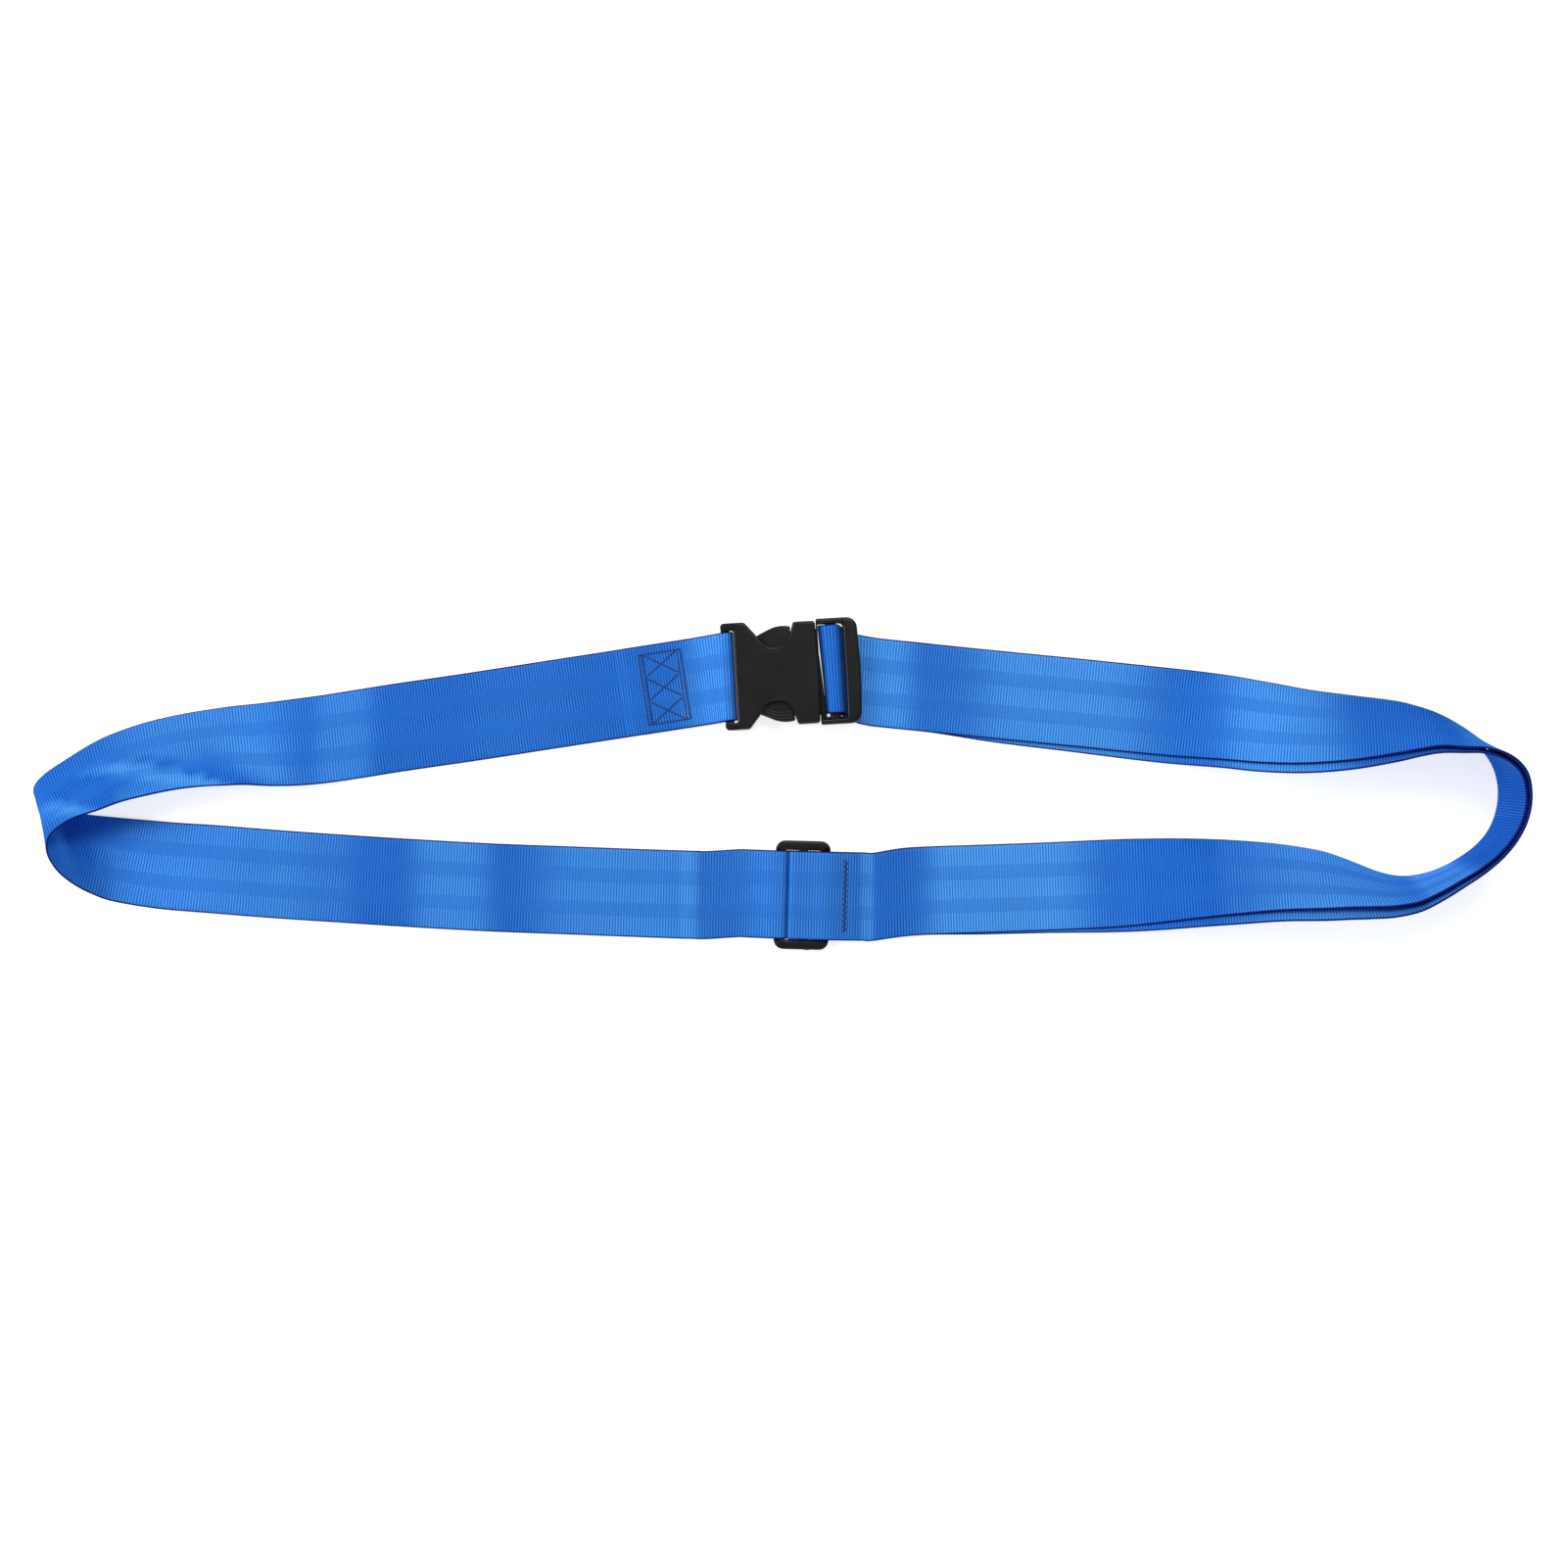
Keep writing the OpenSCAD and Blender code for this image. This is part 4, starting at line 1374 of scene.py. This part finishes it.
@dataclass
class LatchArm(Fitting):
    """One of the plug's two spring arms, with its thumb pad: side is 1 or -1."""

    side: int = 1
    low: float = 3.0
    high: float = 10.0
    grips: tuple[float, ...] = (0.5, 2.2, 3.9)  # ridges, this far in from the pad's rim

    def skins(self) -> list[Skin]:
        """The arm, from the cross member over a shoulder to a lens-shaped pad, and its ridges.

        Returns:
            The arm's skin and one for each ridge.
        """
        outline = rounded([(11.6, 22.1, 1.3), (2.9, 23.2, 4.0), (-0.2, 23.8, 0.5), (0.6, 26.4, 1.2),
                           (-7.0, 27.6, 18.0), (-20.4, 21.4, 1.3), (-13.4, 14.9, 4.0),
                           (-8.3, 13.3, 4.0), (-0.6, 18.0, 3.0), (3.6, 18.95, 3.0),
                           (11.6, 18.9, 1.3)])
        rim = [(-18.2, 21.6), (-13.0, 24.3), (-7.4, 25.5), (-2.4, 25.3), (-0.6, 24.9)]
        rim = through(np.array(rim), 8)
        outline[:, 1] *= self.side
        arm = plate(outline, edge_profile(self.low, self.high, 0.7, 0.9))
        top = np.full(len(rim), self.high)
        lines = [np.column_stack([rim[:, 0], self.side * (rim[:, 1] - back), top])
                 for back in self.grips]
        return [arm] + [bead(line, 0.6, 0.25) for line in lines]


@dataclass
class Triglide(Fitting):
    """The slider: two rails, two low outer bars and a raised centre bar."""

    name: str = "slider_triglide"
    node: str = "slider"
    body: str = "slider"
    seat: Seat = SLIDER
    long: float = 31.0
    wide: float = 61.2
    low: float = 0.4
    bar_top: float = 3.4  # of the two outer bars
    rail_rise: float = 2.0  # of the rails over the outer bars
    rail_from: tuple[float, float] = (25.4, 27.2)  # where that rise begins and ends

    def skins(self) -> list[Skin]:
        """Frame, centre bar and the small nub on one rail.

        Returns:
            The three skins.
        """
        outer = box_outline(-self.long / 2, self.long / 2, -self.wide / 2, self.wide / 2, 5.5)
        inner = box_outline(-10.2, 10.2, -25.2, 25.2, 1.4)
        top = self.bar_top + self.rail_rise * eased(np.abs(outer[:, 1]), *self.rail_from)
        return [frame_ring(outer, inner, self.low, top, 1.3),
                bar_across(-2.6, 2.6, 3.2, 5.4, 26.4, 1.0),
                plate(box_outline(1.6, 5.2, -30.9, -29.6, 0.6), edge_profile(1.6, 3.6, 0.3, 0.3))]


# ---- stitching ---------------------------------------------------------------------------------


@dataclass
class BoxStitching(Fitting):
    """A box of thread with doubled ends and three crossings: it holds the sewn end."""

    name: str = "thread_box"
    node: str = "box_stitching"
    slot: str = "thread"
    crease_deg: float = THREAD_CREASE
    at: tuple[float, float] = (-72.3, -3.3)
    turn: float = 5.5
    along: float = 11.9
    half: float = 19.8
    inner: float = 2.1  # from each end of the box to its second row
    crossings: int = 3
    clear: float = 0.9  # between a second row and a crossing's end
    shy: float = 0.3  # how far the second rows stop short of the box
    thread: float = 0.32  # radius
    sunk: float = 0.16  # how far the thread's middle is pulled into the cloth
    stitch: float = 2.3
    arch: float = 0.3

    def skins(self) -> list[Skin]:
        """One thread for the box, one for each second row and two for each crossing.

        Returns:
            The threads' skins.
        """
        a, h, shy = self.along, self.half, self.shy
        step, end = 2 * h / self.crossings, a - self.inner - self.clear
        runs = [[(-a, h), (a, h), (a, -h), (-a, -h), (-a, h)]]
        for row in (self.inner - a, a - self.inner):
            runs.append([(row, h - shy), (row, shy - h)])
        for number in range(self.crossings):
            high = h - number * step - 2 * shy
            low = high - step + 4 * shy
            runs += [[(-end, high), (end, low)], [(end, high), (-end, low)]]
        box = Seat((*self.at, TOP_OF_TWO - self.sunk), self.turn)
        corners = [box.place(np.array([(u, v, 0.0) for u, v in run])) for run in runs]
        return [thread_tube(stitched(line, self.stitch, self.arch), self.thread) for line in corners]


@dataclass
class TailStitching(Fitting):
    """One zigzag row that sews the tail to itself beside the slider."""

    name: str = "thread_tail"
    node: str = "tail_stitching"
    body: str = "slider"
    slot: str = "thread"
    seat: Seat = SLIDER
    crease_deg: float = THREAD_CREASE
    at: float = 24.0
    half: float = 20.0
    zigzags: int = 26
    swing: float = 0.8
    ply_high: float = 5.2  # middle of the ply under the row
    ply_slope: float = 14.5  # that ply comes down from the slider at this many degrees
    face_over: float = 1.03  # half thicknesses from its middle straight up to its sloping face
    sunk: float = 0.12
    thread: float = 0.42  # radius
    stitch: float = 2.2
    arch: float = 0.3

    def skins(self) -> list[Skin]:
        """The zigzag thread, on the ply that slopes down from the slider.

        Returns:
            The thread's skin.
        """
        k = np.arange(self.zigzags + 1)
        u = self.at + np.where(k % 2 == 0, -self.swing, self.swing)
        v = self.half - 2 * self.half * k / self.zigzags
        face = self.ply_high + LEAD * self.face_over - self.sunk
        z = face - (u - self.at) * math.tan(math.radians(self.ply_slope))
        path = stitched(np.column_stack([u, v, z]), self.stitch, self.arch)
        return [thread_tube(path, self.thread)]


# ---- studio --------------------------------------------------------------------------------------


@dataclass
class Studio:
    """White table, soft boxes and the camera straight above."""

    camera_high: float = 1300.0
    sensor: float = 36.0
    field: float = 884.6  # what the camera sees across, at the table
    middle: tuple[float, float] = (7.3, 0.0)
    table_half: float = 3000.0
    table_top: float = -0.2
    room_light: float = 0.35
    boxes: tuple[tuple[str, tuple[float, float, float], float, float], ...] = (
        ("left_box", (-1.9, 0.3, 1.3), 1.0, 32.0),
        ("near_box", (0.3, -1.9, 1.5), 1.2, 9.0),
        ("high_box", (0.3, 1.3, 1.9), 1.1, 28.0))  # name, place and side in metres, and watts

    @staticmethod
    def soft_box(name: str, at: tuple[float, float, float], size: float, power: float) -> None:
        """A large soft light that looks at the middle of the table.

        Args:
            name: the light's name.
            at: where it hangs, in metres.
            size: its side, in metres.
            power: in watts.
        """
        light = bpy.data.lights.new(name, "AREA")
        light.shape = "SQUARE"
        light.size = size
        light.energy = power
        lamp = bpy.data.objects.new(name, light)
        lamp.location = at
        back = unit(np.array(at))
        lamp.rotation_euler = (math.acos(back[2]), 0.0, math.atan2(back[1], back[0]) + math.pi / 2)
        lamp.visible_camera = False
        bpy.context.scene.collection.objects.link(lamp)

    def build(self) -> None:
        """Makes the camera, the table, the lights and the pale surroundings."""
        scene = bpy.context.scene
        camera = bpy.data.objects.new("camera", bpy.data.cameras.new("camera"))
        camera.data.sensor_width = self.sensor
        camera.data.lens = self.sensor * self.camera_high / self.field
        camera.location = (self.middle[0] * MM, self.middle[1] * MM, self.camera_high * MM)
        scene.collection.objects.link(camera)
        scene.camera = camera
        corners = [(x * self.table_half, y * self.table_half, self.table_top)
                   for x, y in ((-1, -1), (1, -1), (1, 1), (-1, 1))]
        table = fill_mesh("table", [Skin(np.array(corners), np.array([[0, 1, 2, 3]]))])
        table.data.materials.append(PaintedTable().make())
        for box in self.boxes:
            self.soft_box(*box)
        world = bpy.data.worlds.new("pale_room")
        scene.world = world
        world.use_nodes = True
        background = world.node_tree.nodes["Background"]
        background.inputs["Color"].default_value = colour("#ffffff")
        background.inputs["Strength"].default_value = self.room_light
        scene.view_settings.view_transform = "Standard"
        scene.view_settings.look = "None"


def main() -> None:
    """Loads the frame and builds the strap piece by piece."""
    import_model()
    Studio().build()
    cloth = WovenPolyester().make()
    acetal = MouldedAcetal().make()
    thread = SewingThread().make()
    made = Webbing().build(cloth)
    upper = LatchArm("latch_pad_upper", "latch_arm_upper", "latch_upper", side=1)
    lower = LatchArm("latch_pad_lower", "latch_arm_lower", "latch_lower", side=-1)
    made += [part.build(acetal) for part in (BuckleSocket(), BucklePlug(), upper, lower, Triglide())]
    made += [seam.build(thread) for seam in (BoxStitching(), TailStitching())]
    LOG.info("%d pieces", len(made))


if __name__ == "__main__":
    logging.basicConfig(level=logging.INFO, format="%(name)s: %(message)s")
    main()
